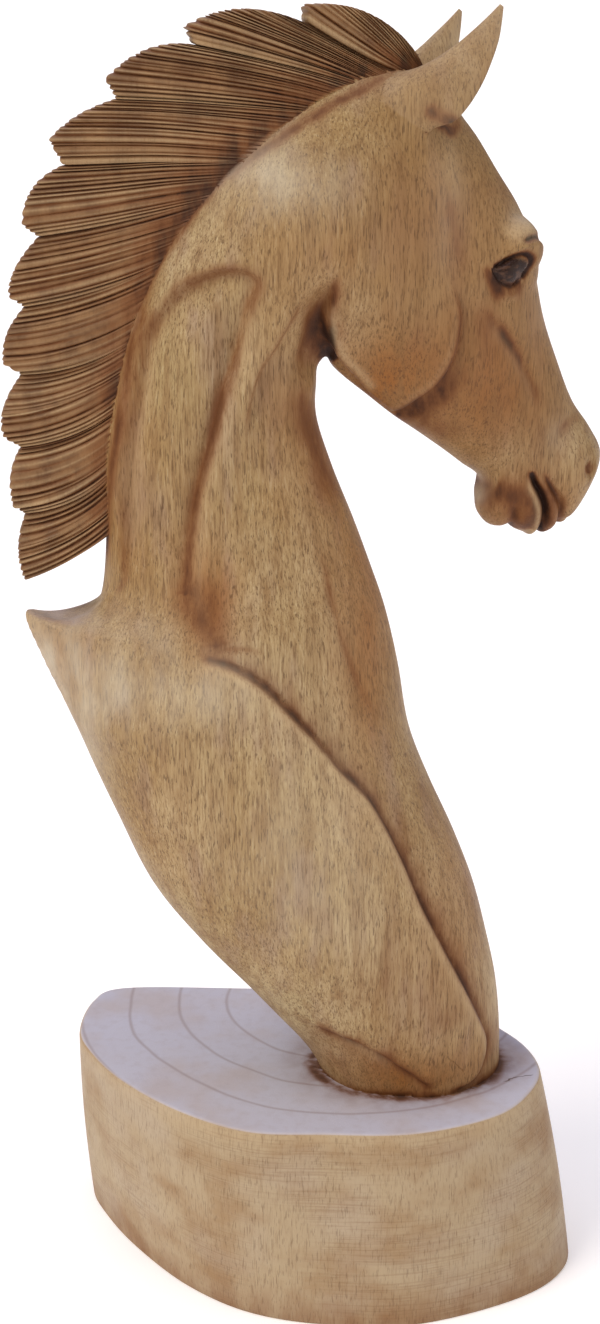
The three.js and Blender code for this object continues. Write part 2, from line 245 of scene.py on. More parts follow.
def from_line(line, flat, reach):
    """For places in side view: signed distance from a smooth line (positive on its left as it is
    drawn) and the share of its length where they are nearest; distance is infinite past `reach`."""
    rows = np.array(line, float)
    curve = spline(rows, np.linspace(0, len(rows) - 1, 6 * (len(rows) - 1) + 1))
    gap = np.full(len(flat), np.inf)
    share = np.zeros(len(flat))
    near = np.flatnonzero(((flat > curve.min(0) - reach) & (flat < curve.max(0) + reach)).all(axis=1))
    best = np.full(len(near), np.inf)
    side = np.ones(len(near))
    where = np.zeros(len(near))
    steps = np.diff(curve, axis=0)
    lengths = np.concatenate([[0], np.cumsum(np.hypot(*steps.T))])
    for i, step in enumerate(steps):
        off = flat[near] - curve[i]
        t = np.clip(off @ step / (step @ step), 0, 1)
        rest = off - t[:, None] * step
        distance = np.hypot(*rest.T)
        closer = distance < best
        best[closer] = distance[closer]
        side[closer] = np.where(step[0] * rest[:, 1] - step[1] * rest[:, 0] < 0, -1, 1)[closer]
        where[closer] = ((lengths[i] + t * (lengths[i + 1] - lengths[i])) / lengths[-1])[closer]
    gap[near] = best * side
    share[near] = where
    return gap, share


def faded(share, fades):
    """A line's strength, which builds up over its first part and dies away over its last."""
    rise, fall = (max(f, 1e-6) for f in fades)
    return smoothstep(share, 0, rise) * smoothstep(1 - share, 0, fall)


# Lines of the carving in side view, x then z.
SHOULDER = [
    (-50, 330.5), (-42, 328), (-30, 323), (-21, 316.5), (-11, 306.5), (4.3, 289), (15, 275), (28, 260),
    (37, 244.5), (45.3, 225.6), (52, 208.8), (57, 198), (65, 181), (73.6, 162.7), (81.3, 146), (88, 128),
    (86.8, 114), (80, 105), (66, 103)]
FOOT_FACET = [(-8, 146), (9.7, 140.5), (28.8, 132.6), (41.8, 123), (53.6, 112.7), (61.7, 106)]
WITHERS_FOLD = [(-45, 331), (-37, 332.4), (-29.6, 332.6), (-21.7, 331), (-14, 327.5)]
CREST_BAND = [
    (-84.4, 343.5), (-80.5, 354), (-79.5, 365), (-79, 385), (-78, 403), (-76, 421), (-72.7, 438.6),
    (-68.7, 460), (-62.5, 473.6), (-50.8, 487), (-38, 493), (-26.4, 494), (-21.5, 489), (-24, 481),
    (-26.5, 470), (-30, 457), (-35.7, 440), (-40.2, 423), (-45.6, 406), (-49.3, 388), (-51.4, 370),
    (-51.7, 354)]
FURROW = CREST_BAND[12:] + [(-49, 340), (-45, 332)]
THROAT_RIDGE = [
    (0, 489), (-5, 480), (-7.3, 473.7), (-13.4, 461), (-19.3, 451.6), (-23, 440), (-25, 428), (-24, 414)]
THROAT_HOLLOW = [(8.5, 495), (4.5, 481), (3, 471), (2.5, 458), (0, 440)]
CHEST = [(6, 380), (9, 362.7), (13, 345), (18, 327), (25.4, 307.7), (31.6, 294.4), (40, 275)]
JOWL = [
    (11, 500), (8, 490), (6.8, 480), (6.6, 470), (9.6, 461), (14.5, 454.3), (20.1, 448.6), (28.9, 438.7),
    (35.8, 433), (40.7, 430), (48, 436.7), (55.1, 444.2), (59.2, 453.2), (61.5, 463), (61.8, 474), (59, 484),
    (55, 493)]
TEMPLE = [(55.6, 529.6), (58.4, 513), (61.6, 496), (64, 479)]
FACE_CREST = [(72, 478), (78, 470), (84.4, 462), (92, 452.5), (98.5, 442.5), (103, 433), (106, 425)]
EYE_UPPER = [
    (76.5, 492.4), (80, 493), (83.5, 495.2), (87.5, 497), (91, 496.6), (93.2, 493.5), (93, 489.5),
    (91, 486.3)]
EYE_LOWER = [(76.5, 492.4), (78.8, 489), (80.8, 486.2), (84, 484.4), (87.5, 484.2), (91, 486.3)]
CREST_HOLLOW = [(66, 487), (70, 475), (78, 462), (88, 450)]     # behind the face crest
LOWER_LID = [(77, 488), (80, 481.8), (86, 479.4), (92, 480.0)]
UPPER_LID = [(76, 496), (80.5, 496.4), (86, 499), (90, 500.3), (95, 499.8), (98.5, 496.5)]
EYE_CREASE = [(88, 501.3), (92, 503), (96, 502.6), (99.5, 498.5)]
NOSE_CREASE = [
    (133, 420), (123, 418), (117.5, 411.5), (115, 401), (117.5, 390), (121.5, 380), (124, 372), (125, 362)]
MOUTH = [(103.2, 398.6), (106.4, 392), (109.7, 386.4), (112.5, 380), (114, 371.6), (114.5, 360)]
MOUTH_RIM = [(101.5, 396), (103.6, 390.5), (106.6, 384.8), (108.9, 379), (110.3, 371), (110.8, 362)]
UPPER_LIP = [(108.5, 399), (113, 392), (117.5, 385), (121, 377), (122, 366)]
CHIN = [(84, 394), (87.5, 389), (86, 383), (82, 378)]
LIP_NOTCH = [(96, 384), (98, 378), (99.5, 370), (100, 362)]

# Cuts: line, half width, depth (negative stands proud), how much of its ends fades, and whether it
# runs out over the edge of the side view.
CUTS = [
    (SHOULDER, 1.8, 1.9, (0.06, 0.06), True),
    (FOOT_FACET, 2.6, 0.8, (0.3, 0.1), True),
    (WITHERS_FOLD, 1.8, 0.7, (0.2, 0.5), False),
    ([(-55, 362), (-50, 345), (-44, 334)], 7.5, 2.4, (0.4, 0.3), False),     # foot of the furrow
    (FURROW, 5.0, 2.2, (0.2, 0.15), False),
    (THROAT_HOLLOW, 6.0, 5.2, (0.35, 0.3), True),
    (CHEST, 2.2, 0.8, (0.3, 0.4), False),
    (TEMPLE, 9.0, 1.9, (0.4, 0.4), False),
    (FACE_CREST, 3.2, 1.5, (0.4, 0.4), False),
    (CREST_HOLLOW, 7.0, 1.3, (0.4, 0.4), False),
    (EYE_UPPER, 1.1, 1.8, (0.1, 0.1), False),
    (EYE_LOWER, 1.0, 1.2, (0.1, 0.1), False),
    (EYE_CREASE, 1.2, 1.5, (0.2, 0.35), False),
    (UPPER_LID, 1.3, -0.9, (0.3, 0.3), False),
    (LOWER_LID, 1.5, -0.8, (0.3, 0.3), False),
    ([(73, 491), (76.5, 482), (84, 476), (92, 476.5)], 2.4, 1.2, (0.3, 0.4), False),     # below the lid
    (NOSE_CREASE, 3.0, 1.0, (0.2, 0.02), True),
    (NOSE_CREASE[4:], 1.8, 1.2, (0.3, 0.02), True),
    (MOUTH, 1.5, 3.8, (0.2, 0.01), True),
    (UPPER_LIP, 1.6, 1.8, (0.3, 0.01), True),
    (MOUTH_RIM, 1.3, -0.8, (0.3, 0.1), True),
    (LIP_NOTCH, 2.6, 1.6, (0.3, 0.01), True),
    (CHIN, 3.0, 0.9, (0.3, 0.3), True),
]
# Edges: line, step (up on its left as drawn, or down where negative), how far the raised side takes
# to fall back, depth of the low side, how far that takes to rise, half width of the step, fades.
EDGES = [
    (SHOULDER, -2.0, 15, -1.2, 10, 1.5, (0.12, 0.08)),
    (FOOT_FACET, 1.1, 14, 1.8, 30, 1.4, (0.3, 0.1)),
    (CREST_BAND, 1.5, 12, 2.8, 13, 2.2, (0.12, 0.15)),
    (THROAT_RIDGE, -1.2, 9, -2.2, 11, 1.5, (0.3, 0.35)),
    (JOWL, 2.7, 11, 2.2, 8, 1.3, (0.18, 0.22)),
    (NOSE_CREASE[1:], 0.9, 10, 0.4, 6, 2.2, (0.3, 0.1)),
]
# Masses: centre, radii and height of a smooth swelling (or, below zero, a hollow).
MASSES = [
    ((94, -23, 501.5), (14, 16, 13), 6.6),     # brow
    ((97, -19, 491), (10, 13, 12), 3.2),       # lids in front of the eye
    ((85.5, -27, 490.5), (7.6, 9, 5.8), 2.4),  # eyeball
    ((36, -29, 466), (26, 12, 34), 2.2),       # jowl
    ((131, -15, 402), (15, 12, 17), 1.8),      # nose
    ((118, -12, 377), (7, 10, 13), 1.2),       # upper lip
    ((104, -12, 375), (7, 10, 12), 1.0),       # lower lip
    ((91, -12, 382), (8, 10, 12), 1.2),        # chin
    ((134, -14, 396.5), (4.2, 9, 5.5), -2.6),  # nostril
]


def relief(points, normals):
    """How far the carved skin stands out from the plain one."""
    flat = points[:, [0, 2]]
    sideways = smoothstep(np.abs(normals[:, 1]), 0.12, 0.5)
    lift = np.zeros(len(points))
    for line, half, depth, fades, over_edge in CUTS:
        gap, share = from_line(line, flat, 3 * half)
        cut = depth * np.exp(-(gap / half) ** 2) * faded(share, fades)
        lift -= cut if over_edge else cut * sideways
    for line, rise, fall_back, dip, climb, half, fades in EDGES:
        gap, share = from_line(line, flat, 3 * max(fall_back, climb))
        gap = gap * np.sign(rise)
        high = abs(rise) * np.exp(-(np.maximum(gap, 0) / fall_back) ** 2)
        low = -abs(dip) * np.exp(-(np.minimum(gap, 0) / climb) ** 2)
        step = smoothstep(gap, -half, half)
        lift += np.where(np.isfinite(gap), low + (high - low) * step, 0) * faded(share, fades) * sideways
    for centre, radii, height in MASSES:
        inside = 1 - (((points - centre) / radii) ** 2).sum(axis=1)
        lift += height * np.clip(inside, 0, 1) ** 1.5
    return lift


def carved_skin(places):
    """Right-hand skin with its carving; its rim stays on the middle plane."""
    points = plain_skin(places)
    normals = skin_normals(places)
    carved = points + normals * relief(points, normals)[:, None]
    carved[(places[:, 1] <= 0) | (places[:, 1] >= 1), 1] = 0
    return carved


def split_faces(faces, middles):
    """Splits triangles at the middles of their sides ab, bc and ca, where there is one (-1: none)."""
    count = (middles >= 0).sum(axis=1)
    parts = [faces[count == 0]]
    for marked in (1, 2, 3):
        rows = count == marked
        corner, middle = faces[rows], middles[rows]
        if marked == 1:
            turn = np.argmax(middle >= 0, axis=1)
        elif marked == 2:
            turn = (np.argmax(middle < 0, axis=1) + 1) % 3
        else:
            turn = np.zeros(len(corner), int)
        order = (np.arange(3) + turn[:, None]) % 3
        a, b, c = np.take_along_axis(corner, order, axis=1).T
        ab, bc, ca = np.take_along_axis(middle, order, axis=1).T
        cuts = {
            1: [(a, ab, c), (ab, b, c)],
            2: [(ab, b, bc), (a, ab, bc), (a, bc, c)],
            3: [(a, ab, ca), (ab, b, bc), (ca, bc, c), (ab, bc, ca)],
        }[marked]
        parts += [np.stack(cut, axis=1) for cut in cuts]
    return np.concatenate(parts)


LONGEST_EDGE = 3.8     # of the skin's triangles
SHORTEST_EDGE = 0.8
FLAT_ENOUGH = 0.11     # a triangle's side is split where it strays this far from the carved form
ROWS_PER_SECTION = 3
ROWS_AROUND = 22
REFINE_ROUNDS = 8
SIDE_KEY = 10 ** 7     # more than the points there are, so two point numbers make one key
LIP_CLOSE = 0.9        # share of the lips' rounding that is left to a small flat

grid_along = np.linspace(0, LAST_SECTION, ROWS_PER_SECTION * LAST_SECTION + 1)
grid_along = np.concatenate([grid_along, LAST_SECTION + np.array([0.45, LIP_CLOSE])])
grid_around = np.linspace(0, 1, ROWS_AROUND + 1)
skin_places = np.array([(a, r) for a in grid_along for r in grid_around])
wide = len(grid_around)
skin_faces = []
for i in range(len(grid_along) - 1):
    for j in range(wide - 1):
        a = i * wide + j
        skin_faces += [(a, a + 1, a + wide + 1), (a, a + wide + 1, a + wide)]
skin_faces = np.array(skin_faces)

points = carved_skin(skin_places)
tested = np.empty(0, np.int64)
for _ in range(REFINE_ROUNDS):
    sides = np.concatenate([skin_faces[:, [0, 1]], skin_faces[:, [1, 2]], skin_faces[:, [2, 0]]])
    sides.sort(axis=1)
    keys, first, which = np.unique(
        sides[:, 0] * SIDE_KEY + sides[:, 1], return_index=True, return_inverse=True)
    fresh = np.flatnonzero(~np.isin(keys, tested))
    tested = keys
    ends = sides[first[fresh]]
    halfway = skin_places[ends].mean(axis=1)
    middle = carved_skin(halfway)
    length = np.linalg.norm(points[ends[:, 0]] - points[ends[:, 1]], axis=1)
    stray = np.linalg.norm(middle - points[ends].mean(axis=1), axis=1)
    marked = (length > LONGEST_EDGE) | ((stray > FLAT_ENOUGH) & (length > SHORTEST_EDGE))
    if not marked.any():
        break
    number = np.full(len(keys), -1)
    number[fresh[marked]] = len(skin_places) + np.arange(marked.sum())
    skin_places = np.vstack([skin_places, halfway[marked]])
    points = np.vstack([points, middle[marked]])
    skin_faces = split_faces(skin_faces, number[which.reshape(3, -1)].T)

# The left-hand half is the right-hand one turned over and joined to it along the middle plane.
near_plain = plain_skin(skin_places)
on_plane = (skin_places[:, 1] <= 0) | (skin_places[:, 1] >= 1)
twin = np.arange(len(skin_places))
twin[~on_plane] = len(skin_places) + np.arange((~on_plane).sum())
neck_points = np.vstack([points, points[~on_plane] * [1, -1, 1]])
neck_plain = np.vstack([near_plain, near_plain[~on_plane] * [1, -1, 1]])
neck_faces = np.vstack([skin_faces, twin[skin_faces][:, ::-1]])
for end in (0, LAST_SECTION + LIP_CLOSE):
    ring = np.flatnonzero(np.abs(skin_places[:, 0] - end) < 1e-9)
    ring = ring[np.argsort(skin_places[ring, 1])]
    ring = np.concatenate([ring, twin[ring[::-1][1:-1]]])
    if end > 0:
        ring = ring[::-1]
    hub = len(neck_points)
    neck_points = np.vstack([neck_points, neck_points[ring].mean(axis=0)])
    neck_plain = np.vstack([neck_plain, neck_plain[ring].mean(axis=0)])
    neck_faces = np.vstack([neck_faces, [(hub, b, a) for a, b in zip(ring, np.roll(ring, -1))]])

TOOL_WAVES = [((0.085, 0.05, 0.06), 0.4), ((-0.05, 0.09, 0.11), 2.1), ((0.13, -0.07, -0.05), 4.0)]
TOOL_DEPTH = 0.16      # of the slight unevenness that hand sanding leaves


def hand_sanded(points):
    """The points moved by the low waves that hand work leaves."""
    moved = points.copy()
    for wave, phase in TOOL_WAVES:
        moved += TOOL_DEPTH * np.sin(points @ np.array(wave) + phase)[:, None] * [0.3, 1, 0.2]
    return moved


# The turn is about an upright axis. It grows with the way forward and with half the height: the
# shoulders stay as they are and the face turns as one.
HEAD_TURN = 15         # degrees towards the horse's left
TURN_AXIS_X = 10
TURN_HEIGHT = 450
TURN_LOW = -20
TURN_SPAN = 70


def turned(points):
    """The points after the turn of the neck and head."""
    along = points[:, 0] + (points[:, 2] - TURN_HEIGHT) / 2
    angle = math.radians(HEAD_TURN) * smoothstep(along, TURN_LOW, TURN_LOW + TURN_SPAN)
    x = points[:, 0] - TURN_AXIS_X
    y = points[:, 1]
    return np.stack([
        TURN_AXIS_X + x * np.cos(angle) - y * np.sin(angle),
        x * np.sin(angle) + y * np.cos(angle),
        points[:, 2],
    ], axis=1)


def lofted(rings):
    """Points and faces of a closed body through rings of one size, with a hub point at either end."""
    sides = len(rings[0])
    points = np.vstack(rings + [rings[0].mean(axis=0), rings[-1].mean(axis=0)])
    faces = []
    for r in range(len(rings) - 1):
        for i in range(sides):
            a = r * sides + i
            b = r * sides + (i + 1) % sides
            faces += [(a, b, b + sides), (a, b + sides, a + sides)]
    for end, hub in ((0, len(points) - 2), (len(rings) - 1, len(points) - 1)):
        for i in range(sides):
            a = end * sides + i
            b = end * sides + (i + 1) % sides
            faces.append((hub, b, a) if end == 0 else (hub, a, b))
    return points, faces


def solid(name, points, faces):
    """A closed mesh object from points in the carver's frame."""
    mesh = bpy.data.meshes.new(name)
    mesh.from_pydata(in_row(points).tolist(), [], faces.tolist() if hasattr(faces, "tolist") else faces)
    return link_object(name, mesh)


neck_turned = turned(hand_sanded(neck_points))
neck = solid("neck_and_head", neck_turned, neck_faces)

# Stain and painted shade: line, half width, strength, fades. Stain was brushed into the cuts and wiped off
# the rest; shade is painted into the same cuts, hollows and joints.
MANE_ROOT_LINE = [
    (46, 577.5), (42, 576.5), (25.4, 568), (5.3, 559), (-26.4, 538), (-40.3, 524), (-60.7, 494.6),
    (-71, 465.5), (-77.5, 435.6), (-82.7, 406.6), (-86.4, 373), (-88, 356)]
EAR_CREASE = [(42, 563), (48, 557), (54, 553), (60, 550), (66, 556)]
STAINS_AND_SHADE = [
    (SHOULDER, 2.4, 0.6, (0.01, 0.02)),
    ([(x + 3, z + 2) for x, z in SHOULDER], 6.0, 0.28, (0.05, 0.1)),     # ahead of the groove
    ([(12, 196), (42, 168), (62, 132)], 26, 0.24, (0.3, 0.1)),     # lower shoulder
    (FOOT_FACET, 4.0, 0.55, (0.3, 0.05)),
    # round the foot: stain and a painted contact shadow where the neck meets the block
    ([(0, 100), (50, 101), (104, 101)], 4.5, 0.7, (0.0, 0.0)),     # round the foot
    ([(-8, 142), (20, 132), (45, 115)], 12.0, 0.25, (0.3, 0.2)),     # below the facet
    (WITHERS_FOLD, 1.8, 0.35, (0.1, 0.5)),
    ([(-50, 370), (-46, 354), (-43, 342), (-40, 332)], 9.0, 0.55, (0.4, 0.05)),     # foot of the furrow
    (CREST_BAND[3:], 3.8, 0.42, (0.25, 0.0)),
    (CREST_BAND[0:5], 2.0, 0.35, (0.1, 0.3)),
    (FURROW, 3.2, 0.22, (0.4, 0.1)),
    ([(x - 5, z) for x, z in FURROW[3:]], 6.0, 0.12, (0.2, 0.2)),     # behind the furrow
    (THROAT_RIDGE, 2.4, 0.35, (0.2, 0.3)),
    # painted shade deep in the throat's hollow
    (THROAT_HOLLOW, 6.5, 0.5, (0.3, 0.3)),
    # painted shade behind the jowl
    ([(8, 475), (7.5, 466), (9, 458), (13.5, 450)], 4.0, 0.85, (0.3, 0.1)),     # behind the jowl
    ([(30, 480), (56, 462), (82, 436), (104, 415), (124, 402)], 24, 0.22, (0.2, 0.05)),     # cheek to nose
    ([(0, 450), (-2, 438), (4, 420), (11, 398), (14, 380)], 7.5, 0.5, (0.2, 0.3)),     # down the throat
    (CHEST, 2.2, 0.4, (0.2, 0.4)),
    (JOWL, 2.0, 0.6, (0.15, 0.2)),
    # painted shade under the cheek's edge
    ([(41, 425), (50, 431), (59, 441), (65, 454)], 6.0, 0.75, (0.05, 0.5)),     # below and ahead of the jowl
    ([(50, 424), (62, 420), (74, 412)], 6.0, 0.35, (0.1, 0.5)),     # along the jaw
    (FACE_CREST, 2.8, 0.62, (0.25, 0.25)),
    (CREST_HOLLOW, 7.0, 0.22, (0.4, 0.4)),
    (TEMPLE, 5.0, 0.5, (0.3, 0.4)),
    (EYE_UPPER, 1.4, 1.0, (0.02, 0.05)),
    (EYE_LOWER, 1.4, 1.0, (0.02, 0.05)),
    ([(77, 491), (82, 489.6), (88, 490.3), (91, 490.5)], 4.2, 0.8, (0.0, 0.0)),     # between the lids
    ([(78, 486), (82, 481.8), (88, 481.2), (93, 484)], 2.4, 0.4, (0.2, 0.3)),     # on the lower lid
    (EYE_CREASE, 1.5, 0.85, (0.25, 0.3)),
    ([(71, 494), (75, 489), (79, 482), (80.5, 472)], 3.0, 0.6, (0.2, 0.4)),     # behind and below the eye
    ([(93, 488), (91, 480), (90, 470)], 3.0, 0.3, (0.2, 0.6)),     # below its front corner
    (NOSE_CREASE[:3], 2.2, 0.35, (0.2, 0.4)),
    (NOSE_CREASE[4:], 2.2, 0.5, (0.3, 0.1)),
    ([(134, 398.5), (134.5, 393)], 3.2, 0.6, (0.0, 0.0)),     # nostril
    (MOUTH, 1.8, 1.0, (0.05, 0.0)),
    (UPPER_LIP, 1.5, 0.6, (0.2, 0.0)),
    ([(110, 392), (114.5, 384), (117.5, 375), (118, 362)], 3.6, 0.5, (0.2, 0.0)),     # upper lip
    (LIP_NOTCH, 2.4, 0.5, (0.3, 0.0)),
    ([(88, 388), (96, 386), (104, 381), (107, 368)], 9.0, 0.6, (0.05, 0.0)),     # lower lip and chin
    (CHIN, 3.0, 0.5, (0.3, 0.2)),
    (MANE_ROOT_LINE, 2.4, 0.55, (0.02, 0.05)),
    (EAR_CREASE, 3.0, 0.8, (0.2, 0.2)),
]
# Warm, orange-brown wood: middle of the patch and its reach in side view.
WARM_PATCHES = [
    ((12, 420), (17, 45), 0.7),        # throat
    ((27, 335), (16, 75), 0.75),       # upper chest
    ((37, 446), (22, 19), 1.0),        # lower cheek
    ((80, 440), (30, 34), 0.7),        # face
    ((103, 380), (26, 18), 1.0),       # lips and chin
    ((70, 190), (22, 60), 0.5),        # lower chest
    ((48, 114), (46, 18), 0.9),        # foot
    ((-78, 420), (9, 80), 0.35),       # along the mane's root
    ((-44, 352), (14, 24), 0.9),       # foot of the furrow
    ((-12, 440), (14, 40), 0.35),      # neck beside the throat
    ((-60, 250), (20, 60), 0.15),      # back of the shoulder
    ((-118, 318), (18, 40), 0.5),      # point of the withers
    ((50, 512), (34, 30), 0.4),        # top of the cheek
    ((72, 450), (52, 56), 0.25),       # the head as a whole
    ((-52, 395), (9, 40), 0.2),        # along the furrow
    ((0, 500), (22, 22), 0.35),        # neck behind the cheek
]
# Painted highlights and painted reflections of a cool sky: places painted pale and cool.
PAINTED_SHEEN_PATCHES = [
    ((-80, 318), (26, 22), 0.6),       # withers
    ((-114, 318), (18, 24), 1.0),      # point of the withers
    ((-15, 530), (20, 13), 0.75),      # top of the neck
    ((55, 520), (8, 26), 0.25),        # temple
    ((80.5, 387), (5.0, 8), 1.0),      # facet of the chin
    ((-104, 284), (16, 36), 0.6),      # back
    ((-40, 314), (20, 14), 0.45),      # top of the shoulder
    ((0, 232), (32, 44), 0.35),        # middle of the shoulder
    ((93, 509.5), (8, 6), 0.6),        # brow
    ((118, 412), (9, 9), 0.25),        # side of the nose
]


def brushed(flat, strokes):
    """Combined strength of brush strokes at places in side view."""
    clear = np.ones(len(flat))
    for line, half, strength, fades in strokes:
        gap, share = from_line(line, flat, 3 * half)
        clear *= 1 - strength * np.exp(-(gap / half) ** 2) * faded(share, fades)
    return 1 - clear


def patches(flat, spots):
    """Combined strength of soft-edged patches at places in side view."""
    clear = np.ones(len(flat))
    for centre, reach, strength in spots:
        clear *= 1 - strength * np.exp(-(((flat - centre) / reach) ** 2).sum(axis=1))
    return 1 - clear


# Raised lines painted light: partly rubbed light by hands, partly painted highlight on their lit side.
WORN_AND_HIGHLIGHT_LINES = [
    ([(x - 2.6, z - 2.0) for x, z in SHOULDER], 1.8, 0.7, (0.03, 0.2)),
    ([(x - 3.2, z + 0.5) for x, z in JOWL[8:]], 1.3, 0.25, (0.1, 0.5)),
    ([(x + 2.4, z + 1.8) for x, z in JOWL[2:8]], 1.4, 0.75, (0.2, 0.1)),
    ([(x + 5.0, z + 1.0) for x, z in FURROW], 2.6, 0.35, (0.2, 0.3)),
    ([(x + 4.0, z) for x, z in CREST_BAND[2:9]], 2.2, 0.35, (0.2, 0.2)),
    (MOUTH_RIM, 1.3, 0.8, (0.2, 0.1)),
    ([(82, 503), (88, 507), (96, 508)], 3.6, 0.8, (0.3, 0.2)),     # brow
    ([(x, z - 3.4) for x, z in FACE_CREST], 2.2, 0.2, (0.3, 0.3)),
    ([(9.7, 138), (28.8, 129), (41.8, 119)], 2.6, 0.35, (0.3, 0.3)),     # below the foot's facet
]
EYE_MIDDLE = (85, 490.5)
EYE_REACH = (9.2, 6.4)

# The finish of each point is six numbers: stain with painted shade, warm, painted sheen (painted highlights
# and sky reflection), region (1 on the mane, -1 on the block, up to HEAD_REGION where the wood is as dark as
# the head's), worn edges with painted highlight, and eye.
HEAD_REGION = 0.25
neck_flat = neck_plain[:, [0, 2]]
eye_gap = np.linalg.norm((neck_flat - EYE_MIDDLE) / EYE_REACH, axis=1)
on_head = HEAD_REGION * smoothstep(neck_flat[:, 0], 8, 38) * smoothstep(neck_flat[:, 1], 395, 435)
neck_finish = np.stack([
    brushed(neck_flat, STAINS_AND_SHADE),
    patches(neck_flat, WARM_PATCHES),
    patches(neck_flat, PAINTED_SHEEN_PATCHES),
    on_head,
    brushed(neck_flat, WORN_AND_HIGHLIGHT_LINES),
    smoothstep(-eye_gap, -1.0, -0.75),
], axis=1)

# ---- Mane ----
# Ten swept locks along the crest, left standing as one plate and cut with a V gouge into strands
# about 3 mm apart, each lock laid a little over the one below it.
MANE_TOP = ((48, 578), (49, 580), 45)      # root, notch and slope above the first lock
# Each lock: swell of its outer arc, its tip, the notch under the tip, where its lower border is
# rooted, and the slope there of the strands at the rim, in degrees down towards the neck.
LOCKS = [
    ((28, 596.5), (0.5, 600), (1, 592.5), (45, 576.5), 32),
    ((-26, 598.5), (-49.5, 591.5), (-46, 584.5), (30, 570.5), 12),
    ((-64.5, 582.5), (-82, 570.5), (-77.5, 562.5), (7, 559), 1),
    ((-94.5, 555.5), (-106, 546), (-100.5, 535.5), (-27, 538), -2),
    ((-114, 526), (-119, 511), (-112, 506), (-43, 521), -9),
    ((-122.5, 493), (-126, 481), (-119, 476.5), (-60, 495), -9),
    ((-127.5, 464.5), (-129.5, 452), (-121.5, 447.5), (-71, 465), -2),
    ((-130.5, 432), (-130.5, 419.5), (-123, 415.5), (-77.5, 436), -6),
    ((-128.5, 403), (-128, 388.5), (-122.5, 385.5), (-82.5, 408), -6),
    ((-126.5, 370), (-124.5, 355), (-122, 356), (-84.5, 374), -21),
]
STRAND_PITCH = 3.1     # millimetres between two gouge cuts at the outer edge
STRAND_SAMPLES = 5     # columns of points across one strand
STRAND_ROWS = 18       # rows from root to rim
CUT_DEPTH = 1.5        # of a gouge cut
LOCK_LAP = 1.5         # how far a lock stands over the next one at the rim
ROOT_HALF = 11         # half the plate's thickness at the root
RIM_HALF = 5.5
ROOT_DEPTH = 8         # how far the plate runs on into the neck
ROOT_RISE = 12         # how far up the crest the lower locks' strands curve at their roots
SWEEP = 0.6            # share of a strand that runs on in its direction at the rim
RIM_ROUND = 2.2        # roundness of the rim's edges
RIM_NICK = 1.1         # how far a gouge cut nicks the rim
CUT_STAIN_AND_SHADE = 0.6        # stain and painted shade at the bottom of a gouge cut
ROOT_STAIN_AND_SHADE = 0.72      # stain and painted shade along the mane's root, where it meets the neck
MANE_WARM = 0.2
BORDER_WIDTH = 0.07    # share of a lock's width that its dark upper and light lower borders take
BORDER_SHADE = 0.75    # painted shadow under the lock above
BORDER_LIGHT = 0.7     # painted highlight on the border that laps over the next lock
CRISP_LOCKS = 4        # upper locks, whose cuts start nearer the root

chance = np.random.default_rng(7)


def quadratic(start, control, end, t):
    """Points of a curve that leaves `start` and reaches `end` in the directions of `control`."""
    t = np.asarray(t)[:, None]
    return start * (1 - t) ** 2 + 2 * control * t * (1 - t) + end * t ** 2


